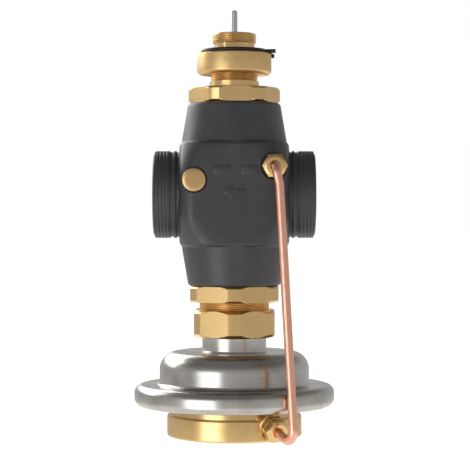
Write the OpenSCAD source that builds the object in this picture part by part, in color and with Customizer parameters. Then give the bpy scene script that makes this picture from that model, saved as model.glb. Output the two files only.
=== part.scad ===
// Pressure independent control valve: a cast body with two threaded ports, a control
// valve on top and a diaphragm pressure regulator below, joined by a copper tube.
// Millimetres, +Z up along the stem, base face at z = 0, ports along X, front towards -Y.

/* [Diaphragm unit] */
// How far the brass base stands in from the edge of the flange
base_inset = 22.4; // [19:0.2:24]
// Height of the wide part of the base
base_drum_h = 14.3; // [13:0.1:17]
// How far the narrow part of the base stands in from its wide part
base_neck_inset = 4; // [3:0.5:5]
// Height of the narrow part of the base
base_neck_h = 6.2; // [5.5:0.1:8]
// Wall of the base around its chamber
base_wall = 10; // [9:0.5:11]
// Floor of the base
base_floor = 3.5; // [2.5:0.5:4]
// Radius of the flange where the two casings meet
flange_r = 68.4; // [66:0.2:70]
// Thickness of the flange over both casings
flange_t = 14.5; // [13:0.5:16]
// Radius of the flange's rounded edges
flange_edge_r = 5.5; // [3:0.5:6]
// Width of the flange's deck beside the dome
deck_w = 17.2; // [15.4:0.2:18.4]
// Height of the dome above the flange
dome_h = 22.4; // [21:0.2:26]
// Radius of the dome's shoulder
dome_shoulder_r = 12; // [6:1:14]
// Radius of the hollow where dome and flange meet
dome_foot_r = 2.5; // [1:0.5:3]
// Sheet thickness of the casings
sheet_t = 2; // [1.5:0.1:2.4]

/* [Union] */
// Radius of the steel neck of the diaphragm unit
neck_r = 22; // [21:0.2:22.4]
// Bore radius of the steel neck
neck_bore_r = 14; // [12:0.5:15]
// Height of the neck between the dome and the union nut
neck_show_h = 9.9; // [7:0.1:14]
// Width across flats of the union nut
union_flats = 55; // [54:0.5:57]
// Radius to which the union nut's corners are turned
union_corner_r = 29.6; // [29.2:0.1:31]
// Height of the union nut
union_h = 18.9; // [18:0.1:24]
// Width across flats of the lower insert
insert_flats = 60; // [58:0.5:62]
// Radius to which the lower insert's corners are turned
insert_corner_r = 32.4; // [31.8:0.1:33.4]
// Height of the lower insert's hexagon
insert_hex_h = 11.2; // [9:0.1:14]
// Height of the thread seen between the union nut and the lower insert
insert_gap_h = 5; // [3:0.1:8]
// Radius of the thread under the union nut
insert_thread_r = 24; // [23.6:0.1:24.6]

/* [Body] */
// Half the height of the body casting
body_half_h = 62.2; // [60:0.2:70]
// Half the width of the square block around the ports
block_half_w = 37.6; // [37:0.1:39]
// Radius that rounds the upright corners of the block
block_corner_r = 10; // [8:0.5:12]
// Radius of the body's cones at their wide end
cone_r = 35.9; // [35:0.1:36.4]
// Radius of the body's top and bottom faces
body_end_r = 31.7; // [31:0.1:34]
// Height from the port axis to the ledge between block and cone
ledge_h = 32.5; // [31:0.5:36]
// Radius that rounds the ledge
ledge_r = 3; // [2:0.5:4]
// Radius of the thread bores in the top and bottom of the body
body_thread_r = 27; // [25:0.5:27.5]
// Distance from the valve axis to each port face
port_reach = 55; // [53:0.5:60]
// Radius of the port threads
port_thread_r = 29.8; // [29:0.1:30.5]
// Length of the port threads, with their end chamfer
port_thread_l = 11.6; // [10:0.2:13]
// Bore radius of the ports
port_bore_r = 20; // [16:0.5:20.5]

/* [Bonnet and collar] */
// Width across flats of the bonnet
bonnet_flats = 57.6; // [55:0.2:59]
// Radius to which the bonnet's corners are turned
bonnet_corner_r = 31.3; // [30.4:0.1:32]
// Height of the bonnet's hexagon
bonnet_hex_h = 10.6; // [9:0.1:13]
// Height of the plain neck above the bonnet's hexagon
bonnet_neck_h = 4.5; // [4:0.1:6]
// Radius of the thread that carries the setting collar
collar_thread_r = 16; // [15.5:0.1:16.5]
// Pitch of the thread that carries the setting collar
collar_pitch = 1.5; // [1:0.5:2]
// Turns that the collar can be screwed down from where it stands
collar_turns_down = 3; // [1:0.5:3]
// Radius of the setting collar
collar_r = 25.4; // [25:0.2:28]
// Height of the setting collar
collar_h = 14.4; // [14:0.2:18]
// Wire diameter of the snap ring
clip_wire_d = 2.8; // [2:0.1:3.2]

/* [Spigot and stem] */
// Radius of the actuator thread on the spigot
spigot_thread_r = 15; // [14:0.5:16]
// Height of the actuator thread
spigot_thread_h = 6.8; // [6:0.1:10]
// Height of the spigot between the collar and the actuator thread
spigot_under_h = 7; // [5.5:0.1:10]
// Radius of the free end of the control stem
stem_tip_r = 2.1; // [1.8:0.05:2.2]
// Height of the stem above the spigot
stem_show_h = 15.8; // [14:0.1:18]
// Travel of the control stem, open to closed
stem_travel = 8; // [5:0.5:8]
// Travel of the regulator stem, open to closed
regulator_travel = 6; // [4:0.5:6]

/* [Impulse line] */
// Outer diameter of the impulse tube
tube_d = 6; // [5.6:0.1:6]
// Wall of the impulse tube
tube_wall = 1; // [0.8:0.1:1]
// Width across flats of the tube fittings
fitting_flats = 15; // [14:0.5:15]
// Distance to the right of the upper fitting
upper_tap_x = 26.9; // [26:0.1:27.5]
// Height of the upper fitting above the port axis
upper_tap_h = 18.6; // [18:0.1:19]
// Distance to the left of the test plug
plug_x = 26.8; // [26:0.1:27.5]
// Height of the test plug above the port axis
plug_h = 9.4; // [8:0.1:10]
// Radius of the test plug's head
plug_r = 7.9; // [7:0.1:8.4]
// Direction of the lower fitting, turned from the front towards the right
lower_tap_turn = 31.8; // [31:0.1:32]
// Angle by which the lower fitting points down
lower_tap_tilt = 22; // [21:0.5:23]
// Height of the lower fitting's axis at the side of the base
lower_tap_h = 10.8; // [10.6:0.1:11.2]

/* [Hidden] */
$fn = 96;

// Clearances, shared by every fit
fit_gap = 0.05;
seat_gap = 0.3;
cut = 1;
edge_chamfer = 0.7;
collar_rest_gap = 0.2;

// Radii that follow the flange
base_r = flange_r - base_inset;
base_neck_r = base_r - base_neck_inset;
dome_r = flange_r - deck_w;

// Heights, stacked from the base face
drum_z = base_drum_h;
flange_z = drum_z + base_neck_h;
seam_z = flange_z + flange_t / 2;
flange_top_z = flange_z + flange_t;
dome_z = flange_top_z + dome_h;
union_z = dome_z + neck_show_h;
union_top_z = union_z + union_h;
insert_z = union_top_z + insert_gap_h;
body_z = insert_z + insert_hex_h;
port_z = body_z + body_half_h;
body_top_z = port_z + body_half_h;
bonnet_top_z = body_top_z + bonnet_hex_h;
thread_z = bonnet_top_z + bonnet_neck_h;
collar_drop = collar_turns_down * collar_pitch;
collar_z = thread_z + collar_drop + collar_rest_gap;
collar_top_z = collar_z + collar_h;
spigot_thread_z = collar_top_z + spigot_under_h;
spigot_top_z = spigot_thread_z + spigot_thread_h;
stem_top_z = spigot_top_z + stem_show_h;

// Turns of the hexagons about the valve axis
bonnet_turn = -56.2;
nut_turn = 30;

// Chambers inside the body
partition_t = 4;
middle_r = 17;
middle_wall = 4;
channel_r = 33;
chamber_r = 30;
chamber_h = 16;
rib_t = 4;
partition_h = port_bore_r + partition_t;
chamber_end_h = partition_h + chamber_h;
port_chamfer = 2.2;
port_groove_w = 2.2;
port_groove_depth = 0.9;
port_rib_w = 1.9;
port_rib_x = port_reach - port_thread_l - port_groove_w - port_rib_w;
port_bore_end_x = 24;
ledge_angle = 55;
crown_r = 41;
crown_drop = 20;

// Tapped bosses on the front of the body
plug_recess_gap = 1;
plug_recess_r = plug_r + plug_recess_gap;
plug_recess_depth = 3;
plug_stud_r = 5;
plug_stud_l = 9;
plug_dome_h = 1.1;
plug_head_h = 3.5;
plug_washer_t = 1;
tap_y = 32;
tap_drill_r = 1.6;
plug_drill_end_y = 16;
upper_drill_end_y = 16;

// Seats
seat_bore_r = 14;
seat_flange_r = 18.8;
seat_flange_t = 1.5;
seat_sleeve_l = 5;

// Tube fittings
spot_r = 9;
body_spot_r = 9.6;
spot_l = 8;
stud_r = 4.8;
stud_l = 9;
fitting_hex_h = 3.4;
nose_r = 5.4;
nose_l = 3.4;
fitting_nut_z = 3.8;
fitting_nut_h = 6;
fitting_nut_chamfer = 2;
fitting_face_share = 0.8;
ferrule_r = 4.4;
ferrule_l = 1.4;
fitting_turn = 30;
tube_r = tube_d / 2;
tube_sides = 12;

// Bonnet and what it holds
bonnet_sleeve_l = 4;
bonnet_sleeve_r = 16;
bonnet_neck_extra = 0.9;
neck_thread_h = 9.5;
spring_room_r = 11.05;
gland_web_h = 2.5;
gland_l = 11;
gland_r = 8;
stem_r = 3;
stem_hole_r = 3.3;
balance_r = 12.1;
balance_h = 14.5;
bonnet_ring_r = 1.2;
bonnet_ring_drop = 2.6;
gland_ring_r = 0.9;
gland_ring_pitch = 4.6;
key_w = 3;
key_depth = 1.3;
key_h = 4;
key_slot_gap = 0.15;

// Collar and spigot
collar_recess_r = 21.5;
collar_recess_h = 0.8;
collar_chamfer = 1.7;
collar_web_h = 2;
shoulder_h = 3;
shoulder_r = 22.5;
sleeve_l = 12.4;
sleeve_bore_r = 8;
spigot_waist_r = 13.8;
spigot_flats = 24.6;
spigot_guide_h = 5;
spigot_room_h = 1.6;
spigot_relief_r = 4;
spigot_chamfer = 1;
clip_mean_r = 21.5;
clip_arm_reach = 28.6;
clip_arm_turn = -11;
clip_hook_reach = 27.8;
clip_hook_turn = 10;
clip_hook_drop = 2.6;
clip_hole_gap = 0.2;
clip_rise_r = 23.4;
clip_steps = 52;

// Stem, cone and return spring
stem_journal_r = 2.3;
washer_t = 1.2;
washer_r = 7;
washer_drop = 2.8;
clip_t = 1;
clip_r = 5;
clip_groove_r = 2.4;
spring_mean_r = 6;
spring_wire_r = 0.65;
spring_turns = 6;
cone_disc_r = 16.3;
cone_disc_t = 4.8;
cone_rest_gap = 0.8;
cone_plug_r = 13.6;
cone_plug_l = 10;
cone_neck_r = 8;
piston_r = 12.04;
piston_h = 8;
piston_ring_h = 2;
piston_ring_drop = 1.5;
piston_ring_depth = 1.6;
cone_seal_r = 15.9;
cone_seal_t = 1.8;
cone_nut_flats = 10;
cone_nut_h = 4.4;
cone_stem_over = 1.2;
relief_hole_r = 1.1;
relief_ring_r = 6.2;
relief_holes = 4;

// Lower insert and regulator stem
insert_foot_l = 10.7;
insert_room_r = 16;
guide_web_h = 3.8;
guide_r = 8;
guide_l = 13.5;
guide_ring_r = 0.95;
guide_ring_pitch = 5;
regulator_stem_r = 4;
regulator_hole_r = 4.5;
regulator_stud_r = 3;
regulator_bore_r = 1.2;
regulator_hub_h = 6;
hub_rest_gap = 4;
union_lip_h = 3;
union_chamfer = 2.4;
hex_chamfer = 1.6;
neck_flange_r = 23.6;
neck_flange_t = 3.5;
gasket_t = insert_z - insert_foot_l - insert_gap_h - (union_z + union_lip_h + neck_flange_t);

// Diaphragm unit
rim_w = 4;
rim_t = 3.5;
hem_inset = 8.4;
hem_r = flange_r - hem_inset;
hem_gap = 0.3;
diaphragm_t = 3;
roll_t = 2;
roll_sag = 1.8;
roll_steps = 16;
plate_inset = 5.2;
plate_r = dome_r - plate_inset;
plate_t = 2.5;
plate_edge_r = 1.2;
plate_nut_flats = 13;
plate_nut_h = 6;
stud_over = 2;
base_ring_r = 0.95;
base_ring_mid_share = 0.5;
base_edge_r = 1.4;
dome_spring_inset = 12.2;
dome_spring_mean_r = dome_r - dome_shoulder_r - dome_spring_inset;
dome_spring_wire_r = 2;
dome_spring_turns = 3.5;
lower_boss_r = 8.6;
lower_seat_t = 0.5;
lower_boss_l = 8;

// Derived places
control_seat_z = port_z + partition_h + seat_flange_t;
control_disc_z = control_seat_z + stem_travel + seat_gap;
sleeve_z = control_disc_z + cone_disc_t + cone_rest_gap;
bonnet_plug_l = body_top_z - bonnet_sleeve_l - sleeve_z;
gland_z = sleeve_z + balance_h + gland_web_h + gland_l;
control_neck_top_z = sleeve_z + balance_h - piston_h - seat_gap;
control_nut_z = control_disc_z - cone_plug_l - cone_nut_h;
regulator_seat_z = port_z - partition_h - seat_flange_t;
regulator_disc_z = regulator_seat_z - regulator_travel - seat_gap;
regulator_nut_z = regulator_disc_z + cone_plug_l;
insert_top_z = regulator_disc_z - cone_disc_t - regulator_hub_h - hub_rest_gap;
guide_z = insert_top_z - guide_l - edge_chamfer;
insert_web_z = guide_z - guide_web_h;
diaphragm_z = seam_z - diaphragm_t / 2;
roll_r0 = plate_r;
roll_r1 = flange_r - sheet_t - rim_w;
washer_z = collar_top_z - shoulder_h - washer_drop - washer_t;
web_z = collar_top_z - shoulder_h - collar_web_h;

// Unit vector along v
function unit(v) = v / norm(v);

// Points of a round bend of radius r at corner b, between a and c
function bend(a, b, c, r, steps) =
    let (
        u = unit(a - b),
        v = unit(c - b),
        open = acos(u * v),
        centre = b + unit(u + v) * r / sin(open / 2),
        start = b + u * r / tan(open / 2),
        stop = b + v * r / tan(open / 2),
        e1 = unit(start - centre),
        e2 = unit((stop - centre) - ((stop - centre) * e1) * e1)
    )
    [for (i = [0 : steps])
        let (angle = (180 - open) * i / steps)
        centre + r * (cos(angle) * e1 + sin(angle) * e2)];

// Points of an arc in the plane of an outline
function arc(centre, r, from, to, steps = 8) =
    [for (i = [0 : steps])
        let (angle = from + (to - from) * i / steps)
        centre + r * [cos(angle), sin(angle)]];

// Direction of a path at its point i
function heading(path, i) =
    unit(path[min(i + 1, len(path) - 1)] - path[max(i - 1, 0)]);

// Ring of points round a path's point i; ref is never along the path
function hoop(path, i, r, sides, ref) =
    let (
        t = heading(path, i),
        n = unit(ref - (ref * t) * t),
        b = cross(t, n)
    )
    [for (k = [0 : sides - 1])
        path[i] + r * (cos(360 * k / sides) * n + sin(360 * k / sides) * b)];

// Solid rod swept along a path
module rod(path, r, sides, ref) {
    last = len(path) - 1;
    points = [for (i = [0 : last]) each hoop(path, i, r, sides, ref)];
    walls = [for (i = [0 : last - 1], k = [0 : sides - 1])
        let (a = i * sides + k, b = i * sides + (k + 1) % sides)
        each [[a, a + sides, b], [b, a + sides, b + sides]]];
    start_cap = [for (k = [1 : sides - 2]) [0, k, k + 1]];
    end_cap = [for (k = [1 : sides - 2])
        [last * sides, last * sides + k + 1, last * sides + k]];
    polyhedron(points, concat(start_cap, walls, end_cap));
}

// Flat ring with a bore
module ring(r_out, r_in, h) {
    difference() {
        cylinder(r = r_out, h = h);
        translate([0, 0, -cut]) cylinder(r = r_in, h = h + 2 * cut);
    }
}

// Round seal
module o_ring(mid_r, section_r) {
    rotate_extrude() translate([mid_r, 0]) circle(r = section_r, $fn = 24);
}

// Hexagonal prism, given across its flats
module hexagon(flats, h) {
    cylinder(r = flats / sqrt(3), h = h, $fn = 6);
}

// Hexagonal prism whose corners are turned off; the top's flat face can be made smaller
module nut_blank(flats, h, corner_r, chamfer, top_chamfer = 0, face_share = 0) {
    top_cut = max(chamfer, top_chamfer);
    face_r = corner_r - chamfer;
    top_r = face_share > 0 ? flats / 2 * face_share : face_r;
    intersection() {
        hexagon(flats, h);
        rotate_extrude()
            polygon([[0, 0], [face_r, 0], [corner_r, chamfer], [corner_r, h - top_cut],
                     [top_r, h], [0, h]]);
    }
}

// Radius just outside the corners of a small hexagon that isn't turned down
function full_corner(flats) = flats / sqrt(3) + fit_gap;

// Coil spring between two heights, one unbroken wire
module coil(mean_r, wire_r, z0, z1, turns) {
    steps = 14;
    sides = 6;
    rise = z1 - z0 - 2 * wire_r;
    path = [for (i = [0 : turns * steps])
        [mean_r * cos(360 * i / steps), mean_r * sin(360 * i / steps),
         z0 + wire_r + rise * i / (turns * steps)]];
    echo("least gap in the coil", rise / turns - 2 * wire_r);
    rod(path, wire_r, sides, [0, 0, 1]);
}

// Places a piece on the front of the body, its own +Z pointing to the viewer
module on_front(x, y, h) {
    translate([x, -y, port_z + h]) rotate([90, 0, 0]) children();
}

// Places a piece on the side of the base, its own +Z along the lower fitting
module on_base() {
    rotate([0, 0, lower_tap_turn - 90]) translate([base_r, 0, lower_tap_h])
        rotate([0, 90 + lower_tap_tilt, 0]) rotate([0, 0, fitting_turn]) children();
}

// Outline of the body casting about its own axis
function body_outline() =
    let (
        side = [[cone_r, ledge_h], [cone_r, ledge_h + ledge_r + edge_chamfer],
                [body_end_r, body_half_h - edge_chamfer],
                [body_end_r - edge_chamfer, body_half_h]]
    )
    concat([[0, body_half_h]],
           [for (i = [len(side) - 1 : -1 : 0]) side[i]],
           [for (p = side) [p[0], -p[1]]],
           [[0, -body_half_h]]);

// Outline of the block seen along a port or from the front
function block_outline() =
    let (
        side = arc([block_half_w - ledge_r, ledge_h], ledge_r, 0, ledge_angle),
        right = concat([for (i = [len(side) - 1 : -1 : 0]) side[i]],
                       [for (p = side) [p[0], -p[1]]])
    )
    concat(right, [for (i = [len(right) - 1 : -1 : 0]) [-right[i][0], right[i][1]]]);

// The block's outline, stood upright and drawn out along Y
module block_slab() {
    rotate([90, 0, 0]) translate([0, 0, -block_half_w - cut])
        linear_extrude(2 * (block_half_w + cut)) polygon(block_outline());
}

// Square block around the ports; its upright corners are rounded, and turned off at both ends
module body_block() {
    flat_w = block_half_w - block_corner_r;
    top_h = ledge_h + ledge_r;
    full_r = flat_w * sqrt(2) + block_corner_r + edge_chamfer;
    intersection() {
        block_slab();
        rotate([0, 0, 90]) block_slab();
        union() {
            for (x = [-flat_w, flat_w], y = [-flat_w, flat_w])
                translate([x, y, -top_h]) cylinder(r = block_corner_r, h = 2 * top_h);
            for (turn = [0, 90]) rotate([0, 0, turn]) translate([-block_half_w, -flat_w, -top_h])
                cube([2 * block_half_w, 2 * flat_w, 2 * top_h]);
        }
        rotate_extrude()
            polygon([[0, -top_h], [crown_r, -top_h], [full_r, crown_drop - top_h],
                     [full_r, top_h - crown_drop], [crown_r, top_h], [0, top_h]]);
    }
}

module port_end() {
    groove_r = port_thread_r - port_groove_depth;
    groove_x = port_rib_x + port_rib_w;
    rotate([0, 90, 0]) rotate_extrude()
        polygon([[0, 0], [groove_r, 0], [groove_r, port_rib_x], [port_thread_r, port_rib_x],
                 [port_thread_r, groove_x], [groove_r, groove_x],
                 [groove_r, groove_x + port_groove_w], [port_thread_r, groove_x + port_groove_w],
                 [port_thread_r, port_reach - port_chamfer],
                 [port_thread_r - port_chamfer, port_reach], [0, port_reach]]);
}

// Half ring channel beside the middle chamber, from height a to height b
module side_channel(a, b) {
    intersection() {
        translate([0, 0, a]) ring(channel_r, middle_r + middle_wall, b - a);
        translate([rib_t / 2, -channel_r, a]) cube([channel_r, 2 * channel_r, b - a]);
    }
}

module body_cavities() {
    bore_l = 2 * body_half_h + 2 * cut;
    translate([0, 0, -partition_h - cut]) cylinder(r = middle_r, h = 2 * (partition_h + cut));
    for (s = [0, 1]) mirror([0, 0, s]) {
        translate([0, 0, partition_h]) cylinder(r = chamber_r, h = chamber_h);
        translate([0, 0, chamber_end_h - cut])
            cylinder(r = body_thread_r, h = body_half_h - chamber_end_h + 2 * cut);
    }
    side_channel(-port_bore_r, partition_h + cut);
    rotate([0, 0, 180]) side_channel(-partition_h - cut, port_bore_r);
    for (s = [0, 1]) mirror([s, 0, 0])
        translate([port_bore_end_x, 0, 0]) rotate([0, 90, 0])
            cylinder(r = port_bore_r, h = port_reach);
}

module valve_body() color([0.24, 0.24, 0.25]) difference() {
    union() {
        translate([0, 0, port_z]) rotate_extrude() polygon(body_outline());
        translate([0, 0, port_z]) body_block();
        translate([0, 0, port_z]) port_end();
        translate([0, 0, port_z]) mirror([1, 0, 0]) port_end();
    }
    translate([0, 0, port_z]) body_cavities();
    on_front(-plug_x, block_half_w - plug_recess_depth, plug_h)
        cylinder(r = plug_recess_r, h = plug_recess_depth + cut);
    on_front(-plug_x, block_half_w - plug_recess_depth - plug_stud_l, plug_h)
        cylinder(r = plug_stud_r, h = plug_stud_l + cut);
    on_front(-plug_x, plug_drill_end_y, plug_h)
        cylinder(r = tap_drill_r, h = block_half_w - plug_drill_end_y);
    on_front(upper_tap_x, tap_y - stud_l, upper_tap_h) cylinder(r = stud_r, h = stud_l + cut);
    on_front(upper_tap_x, tap_y, upper_tap_h) cylinder(r = body_spot_r, h = spot_l);
    on_front(upper_tap_x, upper_drill_end_y, upper_tap_h)
        cylinder(r = tap_drill_r, h = tap_y - upper_drill_end_y);
}

// Seat ring, its flange on top
module seat_ring() {
    difference() {
        union() {
            translate([0, 0, -seat_sleeve_l]) cylinder(r = middle_r - fit_gap, h = seat_sleeve_l);
            cylinder(r = seat_flange_r, h = seat_flange_t);
        }
        translate([0, 0, -seat_sleeve_l - cut])
            cylinder(r = seat_bore_r, h = seat_sleeve_l + seat_flange_t + 2 * cut);
    }
}

module control_seat() color([0.7, 0.7, 0.7])
    translate([0, 0, port_z + partition_h]) seat_ring();

module regulator_seat() color([0.7, 0.7, 0.7])
    translate([0, 0, port_z - partition_h]) mirror([0, 0, 1]) seat_ring();

module bonnet() color([0.8, 0.62, 0.34]) {
    plug_z = body_top_z - bonnet_plug_l;
    ring_z = body_top_z - bonnet_ring_drop;
    difference() {
        union() {
            translate([0, 0, body_top_z]) rotate([0, 0, bonnet_turn])
                nut_blank(bonnet_flats, bonnet_hex_h, bonnet_corner_r, hex_chamfer);
            translate([0, 0, plug_z])
                cylinder(r = body_thread_r - fit_gap, h = bonnet_plug_l + cut);
            translate([0, 0, sleeve_z]) cylinder(r = bonnet_sleeve_r, h = bonnet_sleeve_l + cut);
            translate([0, 0, bonnet_top_z - cut])
                cylinder(r = collar_thread_r + bonnet_neck_extra, h = bonnet_neck_h + cut);
            translate([0, 0, thread_z - cut]) cylinder(r = collar_thread_r, h = neck_thread_h + cut);
        }
        translate([0, 0, gland_z]) cylinder(r = spring_room_r, h = stem_top_z);
        translate([0, 0, gland_z - gland_l]) cylinder(r = gland_r, h = gland_l + cut);
        translate([0, 0, sleeve_z]) cylinder(r = stem_hole_r, h = gland_z - sleeve_z);
        translate([0, 0, sleeve_z - cut]) cylinder(r = balance_r, h = balance_h + cut);
        translate([0, 0, ring_z]) o_ring(body_thread_r - bonnet_ring_r, bonnet_ring_r + fit_gap);
        translate([0, -key_w / 2 - key_slot_gap, thread_z - cut])
            cube([spring_room_r + key_depth + key_slot_gap, key_w + 2 * key_slot_gap,
                  neck_thread_h + 2 * cut]);
    }
}

module bonnet_o_ring() color([0.1, 0.1, 0.1])
    translate([0, 0, body_top_z - bonnet_ring_drop])
        o_ring(body_thread_r - bonnet_ring_r - fit_gap, bonnet_ring_r);

// Bush with two seal grooves in its bore
module sealed_bush(r_out, r_in, h, ring_r, ring_pitch) {
    difference() {
        ring(r_out, r_in, h);
        for (s = [-1, 1]) translate([0, 0, h / 2 + s * ring_pitch / 2])
            o_ring(r_in + ring_r, ring_r + fit_gap);
    }
}

module gland_bush() color([0.82, 0.66, 0.4])
    translate([0, 0, gland_z - gland_l])
        sealed_bush(gland_r - fit_gap, stem_r + fit_gap, gland_l, gland_ring_r, gland_ring_pitch);

module gland_o_rings() color([0.1, 0.1, 0.1])
    for (s = [-1, 1]) translate([0, 0, gland_z - gland_l / 2 + s * gland_ring_pitch / 2])
        o_ring(stem_r + gland_ring_r + fit_gap, gland_ring_r);

module return_spring() color([0.72, 0.73, 0.75])
    coil(spring_mean_r, spring_wire_r, gland_z + fit_gap, washer_z - fit_gap, spring_turns);

module test_plug() color([0.8, 0.62, 0.34]) {
    neck_y = block_half_w - plug_recess_depth;
    on_front(-plug_x, neck_y, plug_h) rotate_extrude()
        polygon(concat([[0, -plug_stud_l + cut], [plug_stud_r - fit_gap, -plug_stud_l + cut],
                        [plug_stud_r - fit_gap, plug_washer_t], [plug_r, plug_washer_t]],
                       arc([plug_r - plug_dome_h, plug_washer_t + plug_head_h - plug_dome_h],
                           plug_dome_h, 0, 90, 4),
                       [[0, plug_washer_t + plug_head_h]]));
}

module test_plug_washer() color([0.35, 0.2, 0.12])
    on_front(-plug_x, block_half_w - plug_recess_depth, plug_h)
        ring(plug_r, plug_stud_r, plug_washer_t);

// Screwed body of a tube fitting, seated at its own z = 0
module fitting_body() {
    hex_end = fitting_hex_h + nose_l;
    difference() {
        union() {
            translate([0, 0, -stud_l + cut]) cylinder(r = stud_r - fit_gap, h = stud_l);
            nut_blank(fitting_flats, fitting_hex_h, full_corner(fitting_flats), edge_chamfer);
            cylinder(r = nose_r, h = hex_end);
        }
        translate([0, 0, -stud_l]) cylinder(r = tap_drill_r, h = stud_l + hex_end);
        translate([0, 0, fitting_hex_h]) cylinder(r = tube_r + fit_gap, h = nose_l + cut);
    }
}

module fitting_ferrule() {
    translate([0, 0, fitting_hex_h + nose_l]) rotate_extrude()
        polygon([[tube_r + fit_gap, 0], [ferrule_r, 0], [ferrule_r, ferrule_l / 2],
                 [tube_r + edge_chamfer, ferrule_l], [tube_r + fit_gap, ferrule_l]]);
}

module fitting_nut() {
    room_h = fitting_hex_h + nose_l + ferrule_l - fitting_nut_z;
    translate([0, 0, fitting_nut_z]) difference() {
        nut_blank(fitting_flats, fitting_nut_h, full_corner(fitting_flats), edge_chamfer,
                  fitting_nut_chamfer, fitting_face_share);
        translate([0, 0, -cut]) cylinder(r = nose_r + fit_gap, h = room_h + cut);
        cylinder(r = tube_r + 2 * fit_gap, h = fitting_nut_h + cut);
    }
}

module upper_fitting_body() color([0.8, 0.62, 0.34])
    on_front(upper_tap_x, tap_y, upper_tap_h) fitting_body();

module upper_ferrule() color([0.8, 0.62, 0.34])
    on_front(upper_tap_x, tap_y, upper_tap_h) fitting_ferrule();

module upper_fitting_nut() color([0.8, 0.62, 0.34])
    on_front(upper_tap_x, tap_y, upper_tap_h) fitting_nut();

module lower_fitting_body() color([0.8, 0.62, 0.34])
    on_base() translate([0, 0, lower_seat_t]) fitting_body();

module lower_ferrule() color([0.8, 0.62, 0.34])
    on_base() translate([0, 0, lower_seat_t]) fitting_ferrule();

module lower_fitting_nut() color([0.8, 0.62, 0.34])
    on_base() translate([0, 0, lower_seat_t]) fitting_nut();

// Corners of the impulse tube, from the upper fitting to the lower one
tube_front_y = 52.4;
tube_knee_x = 29.6;
tube_knee_drop = 12.4;
tube_foot_gap = 0.35;
elbow_r = 8;
knee_r = 14;
foot_r = 9;
tube_lean = 2.25;
socket_gap = 0.3;
foot_reach = flange_r + tube_r + tube_foot_gap + tube_lean - base_r;
function along_base(t) =
    let (r = base_r + t * cos(lower_tap_tilt))
    [r * sin(lower_tap_turn), -r * cos(lower_tap_turn), lower_tap_h - t * sin(lower_tap_tilt)];
tube_top = [upper_tap_x, -tap_y - fitting_hex_h - socket_gap, port_z + upper_tap_h];
tube_elbow = [upper_tap_x, -tube_front_y, port_z + upper_tap_h];
tube_bend = [tube_knee_x, -tube_front_y, port_z + upper_tap_h - tube_knee_drop];
tube_corner = along_base(foot_reach / cos(lower_tap_tilt));
tube_end = along_base(lower_seat_t + fitting_hex_h + socket_gap);
tube_ref = [0.857, 0.514, 0];
function run(a, b, steps) = [for (i = [1 : steps - 1]) a + (b - a) * i / steps];
function tube_path() =
    let (
        elbow = bend(tube_top, tube_elbow, tube_bend, elbow_r, 8),
        knee = bend(tube_elbow, tube_bend, tube_corner, knee_r, 3),
        foot = bend(tube_bend, tube_corner, tube_end, foot_r, 10)
    )
    concat([tube_top], elbow, knee, run(knee[len(knee) - 1], foot[0], 6), foot, [tube_end]);

module impulse_tube() color([0.85, 0.57, 0.48]) {
    path = tube_path();
    last = len(path) - 1;
    core = concat([path[0] + unit(path[0] - path[1]) * cut], [for (i = [1 : last - 1]) path[i]],
                  [path[last] + unit(path[last] - path[last - 1]) * cut]);
    difference() {
        rod(path, tube_r, tube_sides, tube_ref);
        rod(core, tube_r - tube_wall, tube_sides, tube_ref);
    }
}

module lower_insert() color([0.8, 0.62, 0.34]) {
    foot_z = insert_z - insert_foot_l - insert_gap_h;
    difference() {
        union() {
            translate([0, 0, insert_z]) rotate([0, 0, nut_turn])
                nut_blank(insert_flats, insert_hex_h, insert_corner_r, hex_chamfer);
            translate([0, 0, body_z - cut])
                cylinder(r = body_thread_r - fit_gap, h = insert_top_z - body_z + cut);
            translate([0, 0, foot_z]) cylinder(r = insert_thread_r, h = insert_z - foot_z + cut);
        }
        translate([0, 0, foot_z - cut]) cylinder(r = insert_room_r, h = insert_web_z - foot_z + cut);
        translate([0, 0, insert_web_z - cut]) cylinder(r = regulator_hole_r, h = insert_top_z);
        translate([0, 0, guide_z])
            cylinder(r = guide_r, h = guide_l + edge_chamfer + cut);
        translate([0, 0, body_z + bonnet_ring_drop])
            o_ring(body_thread_r - bonnet_ring_r, bonnet_ring_r + fit_gap);
    }
}

module insert_o_ring() color([0.1, 0.1, 0.1])
    translate([0, 0, body_z + bonnet_ring_drop])
        o_ring(body_thread_r - bonnet_ring_r - fit_gap, bonnet_ring_r);

module guide_bush() color([0.82, 0.66, 0.4])
    translate([0, 0, guide_z])
        sealed_bush(guide_r - fit_gap, regulator_stem_r + fit_gap, guide_l,
                    guide_ring_r, guide_ring_pitch);

module guide_o_rings() color([0.1, 0.1, 0.1])
    for (s = [-1, 1]) translate([0, 0, guide_z + guide_l / 2 + s * guide_ring_pitch / 2])
        o_ring(regulator_stem_r + guide_ring_r + fit_gap, guide_ring_r);

module union_nut() color([0.8, 0.62, 0.34])
    translate([0, 0, union_z]) difference() {
        rotate([0, 0, nut_turn])
            nut_blank(union_flats, union_h, union_corner_r, union_chamfer);
        translate([0, 0, -cut]) cylinder(r = neck_r + 2 * fit_gap, h = union_h);
        translate([0, 0, union_lip_h])
            cylinder(r = insert_thread_r + fit_gap, h = union_h);
    }

module neck_gasket() color([0.15, 0.15, 0.15])
    translate([0, 0, union_z + union_lip_h + neck_flange_t])
        ring(neck_flange_r, insert_room_r, gasket_t);

module casing_neck() color([0.7, 0.7, 0.68])
    difference() {
        union() {
            translate([0, 0, dome_z])
                cylinder(r = neck_r, h = union_z + union_lip_h - dome_z + cut);
            translate([0, 0, union_z + union_lip_h])
                cylinder(r = neck_flange_r, h = neck_flange_t);
        }
        translate([0, 0, dome_z - cut]) cylinder(r = neck_bore_r, h = union_top_z - dome_z);
    }

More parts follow.
